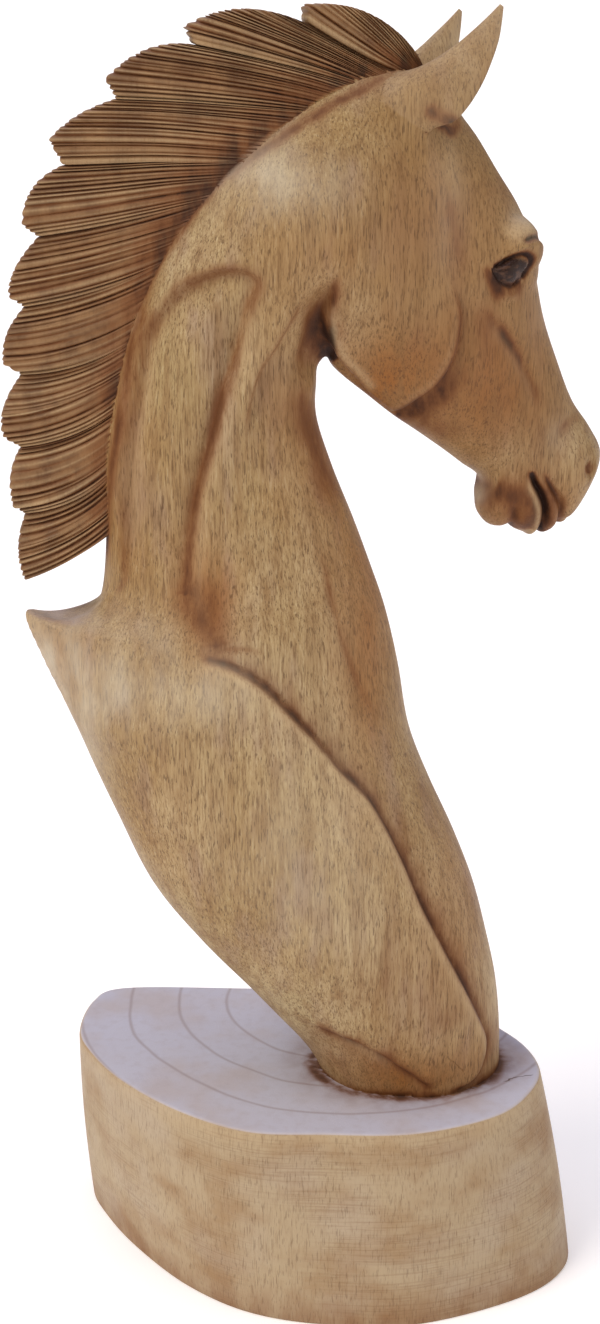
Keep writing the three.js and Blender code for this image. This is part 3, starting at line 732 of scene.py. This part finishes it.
mane_near, mane_far, mane_cut, mane_ridge = [], [], [], []
root_above, notch_above, slope_above = np.array(MANE_TOP[0]), np.array(MANE_TOP[1]), MANE_TOP[2]
rows_out = np.linspace(0, 1, STRAND_ROWS + 1)
for lock_number, (swell, tip, notch, root, slope) in enumerate(LOCKS):
    swell, tip, notch, root = (np.array(p, float) for p in (swell, tip, notch, root))
    arc_control = 2 * swell - (notch_above + tip) / 2
    rim_line = np.vstack([quadratic(notch_above, arc_control, tip, np.linspace(0, 1, 25)), notch])
    rim_lengths = np.concatenate([[0], np.cumsum(np.linalg.norm(np.diff(rim_line, axis=0), axis=1))])
    strands = max(5, round(rim_lengths[-1] / STRAND_PITCH))
    borders = np.concatenate([[0], np.cumsum(chance.uniform(0.5, 1.6, strands))])
    counts = np.linspace(0, strands, strands * STRAND_SAMPLES + 1)
    shares = np.interp(counts, np.arange(strands + 1), borders / borders[-1])
    along_rim = shares * rim_lengths[-1]
    ends = np.stack([np.interp(along_rim, rim_lengths, rim_line[:, k]) for k in (0, 1)], axis=1)
    down = (root - root_above) / np.linalg.norm(root - root_above)
    inward = np.array([-down[1], down[0]])
    # Each cut has its own depth, start, brightness and wander.
    depths = chance.uniform(0.45, 1.35, strands + 1)
    fade_starts = chance.uniform(0.0, 0.15 if lock_number < CRISP_LOCKS else 0.45, strands + 1)
    chance_light = chance.uniform(0.05, 0.9, strands + 1)
    bends = chance.normal(0, 0.16, (strands + 1, 3))
    last = lock_number == len(LOCKS) - 1
    for column in range(len(shares) if last else len(shares) - 1):
        share, strand = shares[column], counts[column]
        rise = np.clip((lock_number + share - 1.5) * ROOT_RISE / 3, 0, ROOT_RISE)
        start = root_above + (root - root_above) * share - down * rise
        end = ends[column]
        slant = math.radians(slope_above + (slope - slope_above) * share)
        reach = np.linalg.norm(end - start)
        control = end + np.array([math.cos(slant), -math.sin(slant)]) * reach * SWEEP
        path = quadratic(start + inward * ROOT_DEPTH, control, end, rows_out)
        groove = int(round(strand)) % (strands + 1)
        wander = bends[groove]
        steady = min(1, 4 * share, 4 * (1 - share))
        phase = strand + wander[0] * np.sin(3 * rows_out + wander[1] * 9) * steady
        ridge = np.abs(np.sin(np.pi * phase)) ** 1.1
        fine = 0.18 * np.sin(2 * np.pi * phase * 2.7 + wander[2] * 12)
        growth = smoothstep(rows_out, fade_starts[groove], fade_starts[groove] + 0.45)
        growth = (0.25 + 0.75 * growth) * smoothstep(rows_out, 0.06, 0.3)
        cut = CUT_DEPTH * depths[groove] * growth * (1 - ridge) + 0.3 * fine * growth
        path += (start - end) / reach * RIM_NICK * ((1 - ridge[-1]) * depths[groove] * rows_out ** 4)[:, None]
        lap = LOCK_LAP * (share - 0.5) * smoothstep(rows_out, 0.15, 0.9)
        half = ROOT_HALF + (RIM_HALF - ROOT_HALF) * rows_out + lap - cut
        mane_near.append(np.stack([path[:, 0], -half, path[:, 1]], axis=1))
        mane_far.append(np.stack([path[:, 0], half, path[:, 1]], axis=1))
        out_here = smoothstep(rows_out, 0.25, 0.75)
        # Painted shadow under the lock above, and a painted highlight on the border that laps over the next
        # lock.
        under_lap = BORDER_SHADE * math.exp(-(share / BORDER_WIDTH) ** 2) * out_here
        on_lap = BORDER_LIGHT * math.exp(-((1 - share) / BORDER_WIDTH) ** 2) * out_here
        mane_cut.append(np.maximum((1 - ridge) * growth * depths[groove], under_lap))
        mane_ridge.append(np.maximum(smoothstep(ridge, 0.8, 0.98) * growth * chance_light[groove], on_lap))
    root_above, notch_above, slope_above = root, notch, slope
mane_columns = len(mane_near)      # of points from root to rim, over all the locks

# The loop of points of one column: out along the near side, over the rounded rim, back along the far.
mane_rings = []
mane_ring_cut = []
mane_ring_root = []
mane_ring_ridge = []
near_root = smoothstep(-rows_out, -0.62, -0.2)
for near, far, cut, light in zip(mane_near, mane_far, mane_cut, mane_ridge):
    outward = near[-1] - near[-2]
    outward[1] = 0
    outward /= np.linalg.norm(outward)
    rim_near, rim_far = near[-1].copy(), far[-1].copy()
    near[-1] = rim_near - outward * RIM_ROUND
    far[-1] = rim_far - outward * RIM_ROUND
    near[-2] = near[-3] + (near[-1] - near[-3]) / 2
    far[-2] = far[-3] + (far[-1] - far[-3]) / 2
    shoulder_near = rim_near - outward * RIM_ROUND * 0.3 + [0, RIM_ROUND * 0.3, 0]
    shoulder_far = rim_far - outward * RIM_ROUND * 0.3 - [0, RIM_ROUND * 0.3, 0]
    top_near = rim_near + [0, RIM_ROUND, 0]
    top_far = rim_far - [0, RIM_ROUND, 0]
    mane_rings.append(np.vstack([near, shoulder_near, top_near, top_far, shoulder_far, far[::-1]]))
    mane_ring_cut.append(np.concatenate([cut, [cut[-1]] * 4, cut[::-1]]))
    mane_ring_root.append(np.concatenate([near_root, [0] * 4, near_root[::-1]]))
    mane_ring_ridge.append(np.concatenate([light, [light[-1]] * 4, light[::-1]]))
ring_size = len(mane_rings[0])
mane_points = np.vstack(mane_rings)
mane_faces = []
for c in range(mane_columns - 1):
    for r in range(ring_size):
        a = c * ring_size + r
        b = c * ring_size + (r + 1) % ring_size
        mane_faces += [(a, b, b + ring_size), (a, b + ring_size, a + ring_size)]
for first, flip in ((0, False), ((mane_columns - 1) * ring_size, True)):
    for r in range(ring_size // 2 - 1):
        quad = [first + r, first + ring_size - 1 - r, first + ring_size - 2 - r, first + r + 1]
        quad = quad[::-1] if flip else quad
        mane_faces += [(quad[0], quad[1], quad[2]), (quad[0], quad[2], quad[3])]
mane_turned = turned(hand_sanded(mane_points))
mane = solid("mane", mane_turned, mane_faces)
mane_cut_all = np.concatenate(mane_ring_cut)
mane_root_all = np.concatenate(mane_ring_root)
mane_finish = np.zeros((len(mane_points), 6))
cut_stain_and_shade = CUT_STAIN_AND_SHADE * smoothstep(mane_cut_all, 0.1, 0.8)
mane_finish[:, 0] = 1 - (1 - cut_stain_and_shade) * (1 - ROOT_STAIN_AND_SHADE * mane_root_all)
mane_finish[:, 1] = MANE_WARM
mane_finish[:, 3] = 1
# The strands' ridges and lapping borders carry painted highlight in the worn column.
mane_finish[:, 4] = np.concatenate(mane_ring_ridge)

# ---- Ears ----
# Two pricked ears, each a leaf rolled round a hollow that faces forward, cut in one with the head
# and blended into it with a rasp.
# Rings of the leaf from its foot in the head to its tip: rear edge and front edge in side view, and
# distance from the middle plane.
EAR_OUTLINE = [
    ((28, 564), (50, 541), 17),
    ((34, 572), (57, 551), 19),
    ((43, 576), (64, 559.5), 21),
    ((52, 579.5), (69.5, 568), 22.5),
    ((59.5, 584), (73.5, 576.5), 23.5),
    ((66.5, 589.5), (76.8, 585), 24),
    ((73, 595), (78.6, 592), 24),
    ((78.4, 600), (79.8, 598.8), 24),
]
LEFT_EAR_SHIFT = (2, -3)   # the left ear is pricked a little further forward
EAR_OPENING = 12       # degrees from straight ahead, outward
EAR_HOLLOW = 1.35      # depth of the hollow, in half widths
EAR_FLATNESS = 0.75    # width across the head, as a share of the width in side view
RINGS_PER_PAIR = 5
EAR_SIDES = 48


def ear(side):
    """Points and faces of one ear; side is -1 for the right one."""
    shift = np.array(LEFT_EAR_SHIFT if side > 0 else (0, 0))
    table = np.array([[*rear, *front, out] for rear, front, out in EAR_OUTLINE], float)
    rows = spline(table, np.linspace(0, len(table) - 1, RINGS_PER_PAIR * (len(table) - 1) + 1))
    opening = math.radians(EAR_OPENING)
    reach = 1 + 1 / (4 * EAR_HOLLOW)
    around = 2 * math.pi * np.arange(EAR_SIDES) / EAR_SIDES
    profile = (1 + np.cos(around) - EAR_HOLLOW * np.maximum(0, np.cos(around)) ** 2) / reach - 0.5
    rings = []
    for row in rows:
        rear = row[0:2] + shift
        across = row[2:4] - row[0:2]
        width = np.linalg.norm(across)
        ahead = across / width
        along = profile * width
        beside = EAR_FLATNESS * width / 2 * np.sin(around)
        forward = along * math.cos(opening) - beside * math.sin(opening)
        outward = along * math.sin(opening) + beside * math.cos(opening)
        middle = rear + across / 2
        ring = np.stack([
            middle[0] + ahead[0] * forward,
            side * (row[4] + outward),
            middle[1] + ahead[1] * forward,
        ], axis=1)
        rings.append(ring[::-1] if side < 0 else ring)
    return lofted(rings)


right_ear_straight, ear_faces = ear(-1)
left_ear_straight, left_ear_faces = ear(1)
right_ear_points = turned(right_ear_straight)
left_ear_points = turned(left_ear_straight)
right_ear = solid("right_ear", right_ear_points, ear_faces)
left_ear = solid("left_ear", left_ear_points, left_ear_faces)
ear_finish = np.tile([0.06, 0.1, 0.3, 0.0, 0.1, 0.0], (len(right_ear_points), 1))
ear_front = np.cos(2 * math.pi * np.arange(EAR_SIDES) / EAR_SIDES)
ear_front = np.append(np.tile(ear_front, len(right_ear_points) // EAR_SIDES), [0, 0])
ear_crease = brushed(right_ear_straight[:, [0, 2]], [(EAR_CREASE, 4.0, 0.75, (0.2, 0.1))])
# The forward hollow of each ear painted darker: stain and painted shade.
ear_finish[:, 0] += 0.5 * smoothstep(ear_front, 0.4, 0.8)
ear_foot = smoothstep(-right_ear_points[:, 2], -592, -562)
# less painted sheen towards the ear's foot
ear_finish[:, 2] -= 0.2 * ear_foot
ear_finish[:, 3] = 0.08 + 0.17 * ear_foot
ear_finish[:, 0] = np.maximum(ear_finish[:, 0], ear_crease)

# ---- Block ----
# The foot of the same log, left as an uneven lens-shaped block with sawn, scraped sides and a level
# top whose arris is worn round.
BLOCK_TOP = 102
ARRIS = 2              # radius to which the edges are worn
BELLY = 1.5            # how far the sides swell at mid height
# Pairs of points on the top edge and the underside's edge, going round from the left end.
BLOCK_EDGE = [
    ((-110, 44), (-106, 53)), ((-104, 74), (-101, 78)), ((-88, 87), (-86, 89)), ((-30, 83), (-30, 86)),
    ((30, 75), (34, 80)), ((82, 54), (94, 60)), ((109, 22), (126, 26)), ((117, -8), (134.5, -12)),
    ((109, -32), (126, -37)), ((88, -54), (99, -56.5)), ((48, -66.5), (51, -71.5)), ((6, -64), (8, -69)),
    ((-30, -59), (-29, -57)), ((-62, -38), (-59, -33)), ((-89, -8), (-84, 1)), ((-105, 22), (-99.5, 31)),
]
EDGE_SAMPLES = 12      # points of the outline for each pair
FOOT_MIDDLE = 52       # the neck's foot on the block's top, round which a contact shadow is painted
FOOT_HALF = (46, 35)


def closed_outline(corners):
    """Smooth loop through the corners, the other way round."""
    wrapped = np.array([corners[-1], *corners, corners[0], corners[1]], float)
    count = len(corners)
    at = 1 + np.arange(count * EDGE_SAMPLES) / EDGE_SAMPLES
    return spline(wrapped, at)[::-1]


block_top_edge = closed_outline([top for top, _ in BLOCK_EDGE])
block_foot_edge = closed_outline([foot for _, foot in BLOCK_EDGE])


def block_ring(height, swell, shrink=1.0):
    """The block's outline at a height, swollen out from the carver's upright axis, then shrunk to it."""
    edge = block_foot_edge + (block_top_edge - block_foot_edge) * height / BLOCK_TOP
    edge = edge * (1 + swell / np.linalg.norm(edge, axis=1))[:, None] * shrink
    return np.column_stack([edge, np.full(len(edge), float(height))])


block_rings = [block_ring(0, -ARRIS / 2, s) for s in (0.2, 0.6)]
block_rings += [block_ring(0, -ARRIS / 2), block_ring(ARRIS / 2, -0.2), block_ring(ARRIS, 0)]
for height in np.linspace(ARRIS, BLOCK_TOP - ARRIS, 12)[1:-1]:
    block_rings.append(block_ring(height, BELLY * math.sin(math.pi * height / BLOCK_TOP)))
for turn in np.linspace(0, math.pi / 2, 5):
    block_rings.append(block_ring(BLOCK_TOP - ARRIS + ARRIS * math.sin(turn), -ARRIS * (1 - math.cos(turn))))
block_rings += [block_ring(BLOCK_TOP, -ARRIS, s) for s in np.linspace(0.98, 0.06, 18)]
block_points, block_faces = lofted(block_rings)
block = solid("block", block_points, block_faces)
block_finish = np.tile([0.0, 0.0, 0.0, -1.0, 0.0, 0.0], (len(block_points), 1))
# Painted shade: the block darker towards its bottom.
block_finish[:, 0] = 0.32 * smoothstep(-block_points[:, 2], -30, -2)
from_foot = np.hypot((block_points[:, 0] - FOOT_MIDDLE) / FOOT_HALF[0], block_points[:, 1] / FOOT_HALF[1])
# A painted contact shadow round the neck's foot on the block's top.
foot_shadow = 0.45 * np.exp(-((from_foot - 1) / 0.07) ** 2) + 0.24 * np.exp(-((from_foot - 1.1) / 0.3) ** 2)
block_finish[:, 0] += foot_shadow * (block_points[:, 2] > BLOCK_TOP - 0.05)
on_arris = (block_points[:, 2] > BLOCK_TOP - ARRIS - 0.1) & (block_points[:, 2] < BLOCK_TOP - 0.05)
# the worn arris painted lighter: wear and a painted highlight
block_finish[on_arris, 4] = 0.3

# ---- The joined carving ----
# One piece of wood, so the parts above are joined into one closed skin, and each point of it takes
# its finish from the part that it came from.
for part in (mane, right_ear, left_ear, block):
    join = neck.modifiers.new("join", "BOOLEAN")
    join.operation = "UNION"
    join.solver = "MANIFOLD"
    join.object = part
bpy.context.view_layer.update()
joined = bpy.data.meshes.new_from_object(neck.evaluated_get(bpy.context.evaluated_depsgraph_get()))
for part in (neck, mane, right_ear, left_ear, block):
    bpy.data.objects.remove(part)
joined.name = "horse_head_carving"
carving = link_object("horse_head_carving", joined)

# Slivers along the joints are welded up, and a fold that this closes on itself is cut away.
WELD = 0.005 * mm
skin = bmesh.new()
skin.from_mesh(joined)
bmesh.ops.triangulate(skin, faces=skin.faces)
bmesh.ops.remove_doubles(skin, verts=skin.verts, dist=WELD)
same_corners = {}
for face in skin.faces:
    same_corners.setdefault(frozenset(face.verts), []).append(face)
folds = [face for faces in same_corners.values() if len(faces) > 1 for face in faces]
bmesh.ops.delete(skin, geom=folds, context="FACES")
skin.to_mesh(joined)
skin.free()

source_parts = [neck_turned, mane_turned, right_ear_points, left_ear_points, block_points]
source_points = in_row(np.vstack(source_parts))
source_finish = np.vstack([neck_finish, mane_finish, ear_finish, ear_finish, block_finish])
source_part = np.repeat(np.arange(len(source_parts)), [len(part) for part in source_parts])
source_tree = kdtree.KDTree(len(source_points))
for i, point in enumerate(source_points):
    source_tree.insert(point, i)
source_tree.balance()
points = np.empty(len(joined.vertices) * 3)
joined.vertices.foreach_get("co", points)
points = points.reshape(-1, 3)
nearest = np.array([source_tree.find(point)[1] for point in points])
finish = source_finish[nearest]
came_from = source_part[nearest]
FINISH = ("stain_and_shade", "warm", "painted_sheen", "region", "worn_and_highlight", "eye")
for column, name in enumerate(FINISH):
    layer = joined.attributes.new(name, "FLOAT", "POINT")
    layer.data.foreach_set("value", finish[:, column].astype(np.float32))

# Rasped and sanded where two masses meet: each point moves towards the middle of its neighbours.
edges = np.empty(len(joined.edges) * 2, int)
joined.edges.foreach_get("vertices", edges)
edges = edges.reshape(-1, 2)


def sanded(points, strength, rounds):
    """The points after rounds of sanding; strength from 0 to 1 says where."""
    busy = edges[(strength[edges] > 0.01).any(axis=1)]
    chosen, local = np.unique(busy, return_inverse=True)
    local = local.reshape(-1, 2)
    heads = np.concatenate([local[:, 0], local[:, 1]])
    tails = np.concatenate([local[:, 1], local[:, 0]])
    share = np.bincount(heads, minlength=len(chosen))
    share = (strength[chosen] * 0.5 / share)[:, None]
    near = points[chosen]
    for _ in range(rounds):
        gaps = near[tails] - near[heads]
        pull = np.stack([np.bincount(heads, gaps[:, k], minlength=len(chosen)) for k in range(3)], axis=1)
        near = near + pull * share
    result = points.copy()
    result[chosen] = near
    return result


def plateau(value, limits):
    """A smooth rise from 0 to 1 over the first two limits, and the fall back over the last two."""
    rise_from, rise_to, fall_from, fall_to = limits
    return smoothstep(value, rise_from, rise_to) * smoothstep(-value, -fall_to, -fall_from)


def carver_place(points):
    """Row-frame metres back to the carver's millimetres."""
    return (points - box_foot) / mm + BOX_MIDDLE


MANE_PART = 1          # places in source_parts
EAR_PARTS = (2, 3)
EAR_FILLET = 7         # reach of the rasp from the line where an ear meets the head
EAR_NEAR = 45          # nothing farther than this from the middle of that line is touched
# The hollow between the withers and the mane: where the sanding starts, is full, starts to fall and
# ends, and how far from the middle plane it starts and is full.
WITHERS_X = (-126, -118, -62, -40)
WITHERS_Z = (290, 315, 348, 362)
WITHERS_Y = (2, 15)
WITHERS_ROUNDS = 500   # of sanding
EAR_ROUNDS = 90
SHARP_EDGE = 50        # degrees between faces past which an edge stays crisp
place = carver_place(points)
withers = plateau(place[:, 0], WITHERS_X) * plateau(place[:, 2], WITHERS_Z)
withers *= smoothstep(np.abs(place[:, 1]), *WITHERS_Y)
withers[came_from == MANE_PART] = 0
points = sanded(points, withers, WITHERS_ROUNDS)
place = carver_place(points)
for ear_part in EAR_PARTS:
    joint = edges[(came_from[edges] == ear_part).sum(axis=1) == 1]
    joint = place[np.unique(joint)]
    around = np.flatnonzero(np.linalg.norm(place - joint.mean(axis=0), axis=1) < EAR_NEAR)
    gap = np.array([np.linalg.norm(joint - p, axis=1).min() for p in place[around]])
    strength = np.zeros(len(points))
    strength[around] = np.exp(-(gap / EAR_FILLET) ** 2)
    strength[came_from == MANE_PART] = 0
    points = sanded(points, strength, EAR_ROUNDS)
joined.vertices.foreach_set("co", points.ravel())
joined.update()
joined.shade_smooth()
joined.set_sharp_from_angle(angle=math.radians(SHARP_EDGE))

# ---- Finish: stained and waxed hardwood ----
# Tan hardwood with fine dark pores, worked over with a dark stain that stays in the cuts, then waxed
# to a low sheen. Shade is painted into the cuts and hollows with the stain, and a painted pale, cool
# sheen stands for highlights and the reflection of the sky on the upward faces and the block's top.
wood = bpy.data.materials.new("waxed_tan_hardwood")
wood.use_nodes = True
tree = wood.node_tree
tree.nodes.clear()


def node(kind, settings=None, links=None, values=None):
    """Adds one node: its settings, then socket values, then links given as socket: (node, output)."""
    made = tree.nodes.new("ShaderNode" + kind)
    for key, value in (settings or {}).items():
        setattr(made, key, value)
    for key, value in (values or {}).items():
        made.inputs[key].default_value = value
    for key, (other, output) in (links or {}).items():
        tree.links.new(other.outputs[output], made.inputs[key])
    return made


def spread(source, low, high, to_low=0.0, to_high=1.0):
    """Maps a value from one range smoothly to another."""
    return node(
        "MapRange", {"interpolation_type": "SMOOTHSTEP"}, {"Value": source},
        {"From Min": low, "From Max": high, "To Min": to_low, "To Max": to_high}), "Result"


def times(first, second):
    """Product of an output and a number or another output."""
    if isinstance(second, tuple):
        return node("Math", {"operation": "MULTIPLY"}, {0: first, 1: second}), "Value"
    return node("Math", {"operation": "MULTIPLY"}, {0: first}, {1: second}), "Value"


def plus(first, second):
    """Sum of two outputs."""
    return node("Math", {"operation": "ADD"}, {0: first, 1: second}), "Value"


def blended(factor, first, second):
    """Colour mix; each of the two is an output or an sRGB hex colour."""
    links = {"Factor": factor}
    values = {}
    for socket, given in ((6, first), (7, second)):
        if isinstance(given, str):
            values[socket] = linear(given)
        else:
            links[socket] = given
    return node("Mix", {"data_type": "RGBA", "clamp_factor": True}, links, values), 2


def grain(cell, detail, roughness=0.55):
    """Noise whose patches are `cell` millimetres long in x, y and z."""
    place = node(
        "VectorMath", {"operation": "MULTIPLY"}, {0: (here, "Object")},
        {1: [1 / (mm * size) for size in cell]})
    return node(
        "TexNoise", None, {"Vector": (place, "Vector")},
        {"Scale": 1.0, "Detail": detail, "Roughness": roughness}), "Fac"


here = node("TexCoord")
normal = node("SeparateXYZ", None, {"Vector": (node("NewGeometry"), "Normal")})
upward = spread((normal, "Z"), 0.35, 0.98)
stain_and_shade, warm, painted_sheen, region, worn_and_highlight, eye = (
    (node("Attribute", {"attribute_name": name}), "Fac") for name in FINISH)
on_mane = spread(region, 0.3, 0.7)
on_block = spread(region, -0.3, -0.7)

# Broad clouds of light and dark wood, with the head darker than the neck and orange-brown where the
# tool went deeper or the wax was rubbed thick. Over them run streaks a few millimetres wide, up the
# log, and fibres drawn just under 1 mm wide, some four times coarser than real ones.
clouds = grain((55, 55, 110), 3)
olive_clouds = grain((34, 34, 80), 2)
streaks = grain((5, 5, 90), 4)
fibres = grain((0.9, 0.9, 12), 3, 0.7)
tan = blended(spread(clouds, 0.3, 0.7), "#b9a27a", "#9b7d50")
tan = blended(times(spread(fibres, 0.45, 0.3), 0.35), tan, "#cdbb95")
tan = blended(times(spread(olive_clouds, 0.5, 0.75), 0.35), tan, "#a39066")
tan = blended(times(spread(grain((15, 15, 60), 3), 0.48, 0.72), 0.5), tan, "#937969")
tan = blended(times(spread(grain((9, 9, 26), 4), 0.5, 0.75), 0.4), tan, "#86633c")
tan = blended(times(spread(region, 0.0, HEAD_REGION), 0.62), tan, "#8a693e")
warm_noise = spread(grain((22, 22, 60), 3), 0.25, 0.7, 0.75, 1.0)
tan = blended(times(warm, warm_noise), tan, "#8f5823")
tan = blended(times(spread(streaks, 0.42, 0.68), 0.5), tan, "#82603a")
tan = blended(times(spread(fibres, 0.46, 0.68), 0.6), tan, "#644425")

# Growth rings about the pith, which lies near the block's left edge; 25.5 mm apart and out of round.
PITH = in_row([28, 66, 0])
RING_WIDTH = 25.5
FIRST_RING = 66
wander = node(
    "TexNoise", None, {"Vector": (here, "Object")}, {"Scale": 1 / (mm * 70), "Detail": 2.0})
from_pith = node(
    "VectorMath", {"operation": "SUBTRACT"}, {0: (here, "Object")}, {1: PITH})
flat_place = node("VectorMath", {"operation": "MULTIPLY"}, {0: (from_pith, "Vector")}, {1: (1, 1, 0)})
distance = node("VectorMath", {"operation": "LENGTH"}, {0: (flat_place, "Vector")})
in_rings = node(
    "Math", {"operation": "MULTIPLY_ADD"}, {0: (distance, "Value")},
    {1: 1 / (mm * RING_WIDTH), 2: -FIRST_RING / RING_WIDTH})
in_rings = node("Math", {"operation": "ADD"}, {0: (in_rings, "Value"), 1: times((wander, "Fac"), 0.35)})
ring_place = node("Math", {"operation": "FRACT"}, {0: (in_rings, "Value")})
late_wood = node("Math", {"operation": "PINGPONG"}, {0: (ring_place, "Value")}, {1: 0.5})
ring_line = spread((late_wood, "Value"), 0.06, 0.0)
tan = blended(times(ring_line, 0.15), tan, "#7b5633")

# Pores: dark dashes 0.6 mm wide and 6 mm long, drawn about three times coarser than the real ones.
pore_noise = grain((0.6, 0.6, 6), 2, 0.5)
pores = spread(pore_noise, 0.58, 0.68)
tan = blended(times(pores, 0.6), tan, "#4f331c")

# Mane: brown all over; its gouge cuts go nearly black-brown under the stain and painted shade laid on below.
mane_noise = spread(grain((14, 14, 14), 3), 0.35, 0.7)
mane_brown = blended(mane_noise, "#866240", "#5a3922")
tan = blended(times(on_mane, 0.85), tan, mane_brown)

# Block: sawn sides are greyer with dark blotches and faint level saw marks; rings show on its top, which is
# painted a pale lavender that stands for the reflection of a cool sky.
block_blotch = spread(grain((34, 34, 22), 3), 0.4, 0.75)
block_tan = blended(times(block_blotch, 0.65), "#ad9879", "#8d673d")
block_tan = blended(times(spread(grain((50, 50, 40), 2), 0.45, 0.7), 0.4), block_tan, "#b0a08d")
saw_marks = spread(grain((30, 30, 0.8), 2), 0.48, 0.68)
saw_marks = times(saw_marks, spread(grain((60, 60, 45), 1), 0.4, 0.6))
block_tan = blended(times(saw_marks, 0.28), block_tan, "#80603f")
block_tan = blended(times(spread(fibres, 0.48, 0.7), 0.3), block_tan, "#7d5c3a")
block_tan = blended(times(pores, 0.35), block_tan, "#5d4028")
block_top_grain_and_sheen = blended(times(spread(grain((36, 36, 36), 3), 0.42, 0.7), 0.55), "#bbb9c5", "#b5a6a0")
block_top_grain_and_sheen = blended(times(ring_line, 0.5), block_top_grain_and_sheen, "#8d7a76")
block_top_grain_and_sheen = blended(times(spread(streaks, 0.45, 0.7), 0.2), block_top_grain_and_sheen, "#a69a9c")

# A short drying check in the block's top, ahead of the foot: half a millimetre wide.
CHECK_ENDS = in_row([[96, -22.5, 0], [113, -17, 0]])
CHECK_HALF = 0.5 * mm
check_run = CHECK_ENDS[1] - CHECK_ENDS[0]
check_length = float(np.linalg.norm(check_run))
check_ahead = check_run / check_length
from_check = node(
    "VectorMath", {"operation": "SUBTRACT"}, {0: (here, "Object")}, {1: CHECK_ENDS.mean(axis=0)})
along_check = node("VectorMath", {"operation": "DOT_PRODUCT"}, {0: (from_check, "Vector")}, {1: check_ahead})
along_check = node("Math", {"operation": "ABSOLUTE"}, {0: (along_check, "Value")})
off_check = node(
    "VectorMath", {"operation": "DOT_PRODUCT"}, {0: (from_check, "Vector")},
    {1: (-check_ahead[1], check_ahead[0], 0)})
off_check = plus((off_check, "Value"), times(spread(grain((5, 5, 5), 1), 0.3, 0.7, -0.5, 0.5), 1.6 * mm))
off_check = node("Math", {"operation": "ABSOLUTE"}, {0: off_check})
check_line = times(
    spread((off_check, "Value"), CHECK_HALF, CHECK_HALF * 0.4),
    spread((along_check, "Value"), check_length / 2, check_length * 0.35))
block_top_grain_and_sheen = blended(times(check_line, 0.85), block_top_grain_and_sheen, "#3a2a24")
# Faces turned up take the top's colour, with its painted sky reflection.
block_colour = blended(spread((normal, "Z"), 0.6, 0.9), block_tan, block_top_grain_and_sheen)
tan = blended(on_block, tan, block_colour)

# Stain and painted shade held in the cuts, and the painted pale, cool sheen: painted highlights and a painted
# reflection of the sky.
stain_and_shade_noise = spread(grain((9, 9, 24), 4), 0.25, 0.65, 0.5, 1.0)
stain_and_shade_factor = times(stain_and_shade, stain_and_shade_noise)
stained_and_shaded = blended(spread(stain_and_shade_factor, 0.0, 0.6), tan, "#754521")
# The near-black step stands for painted shade in the deepest cuts and hollows.
stained_and_shaded = blended(spread(stain_and_shade_factor, 0.3, 0.85), stained_and_shaded, "#2c160b")
# Painted highlights and a painted reflection of the cool sky: the sheen patches, and every face turned upward
# a little.
painted_sheen_noise = spread(grain((18, 18, 40), 3), 0.3, 0.7, 0.3, 1.0)
painted_sheen_amount = plus(times(painted_sheen, painted_sheen_noise), times(upward, 0.06))
# cream for the painted highlights on the sides, lavender for the painted sky reflection on faces turned up
painted_sheen_colour = blended(spread((normal, "Z"), 0.7, 0.98), "#cdc3ad", "#c8c1c4")
coloured = blended(times(painted_sheen_amount, 0.75), stained_and_shaded, painted_sheen_colour)

# Raised lines painted light, partly rubbed by hands and partly painted highlight, and the eyeball dark brown.
worn_and_highlight_colour = blended(times(spread(fibres, 0.45, 0.7), 0.5), "#c6ab82", "#96744a")
coloured = blended(times(worn_and_highlight, 0.6), coloured, worn_and_highlight_colour)
eye_brown = blended(spread(grain((3.5, 3.5, 1.6), 2), 0.45, 0.62), "#2a1810", "#4c3324")
coloured = blended(eye, coloured, eye_brown)

# Sheen: waxed wood, duller in the pores and where the stain and painted shade are thick, glossy on the
# eyeball.
sheen = spread(grain((30, 30, 60), 2), 0.3, 0.7, 0.44, 0.58)
dulled = plus(plus(sheen, times(stain_and_shade, 0.2)), times(eye, -0.3))

# Surface: open pores, raised fibres and the chatter of the scraper, in millimetres of depth.
height = plus(times(pores, -0.12), times(fibres, 0.10))
height = plus(height, times(grain((3.5, 3.5, 11), 3), 0.18))
height = plus(height, times(times(saw_marks, on_block), -0.10))
bump = node("Bump", None, {"Height": height}, {"Strength": 0.7, "Distance": 0.001})

surface = node(
    "BsdfPrincipled", None, {"Base Color": coloured, "Roughness": dulled, "Normal": (bump, "Normal")},
    {"Specular IOR Level": 0.22})
node("OutputMaterial", None, {"Surface": (surface, "BSDF")})
joined.materials.clear()
joined.materials.append(wood)

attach(carving, "root")
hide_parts("horse_bust_on_block")
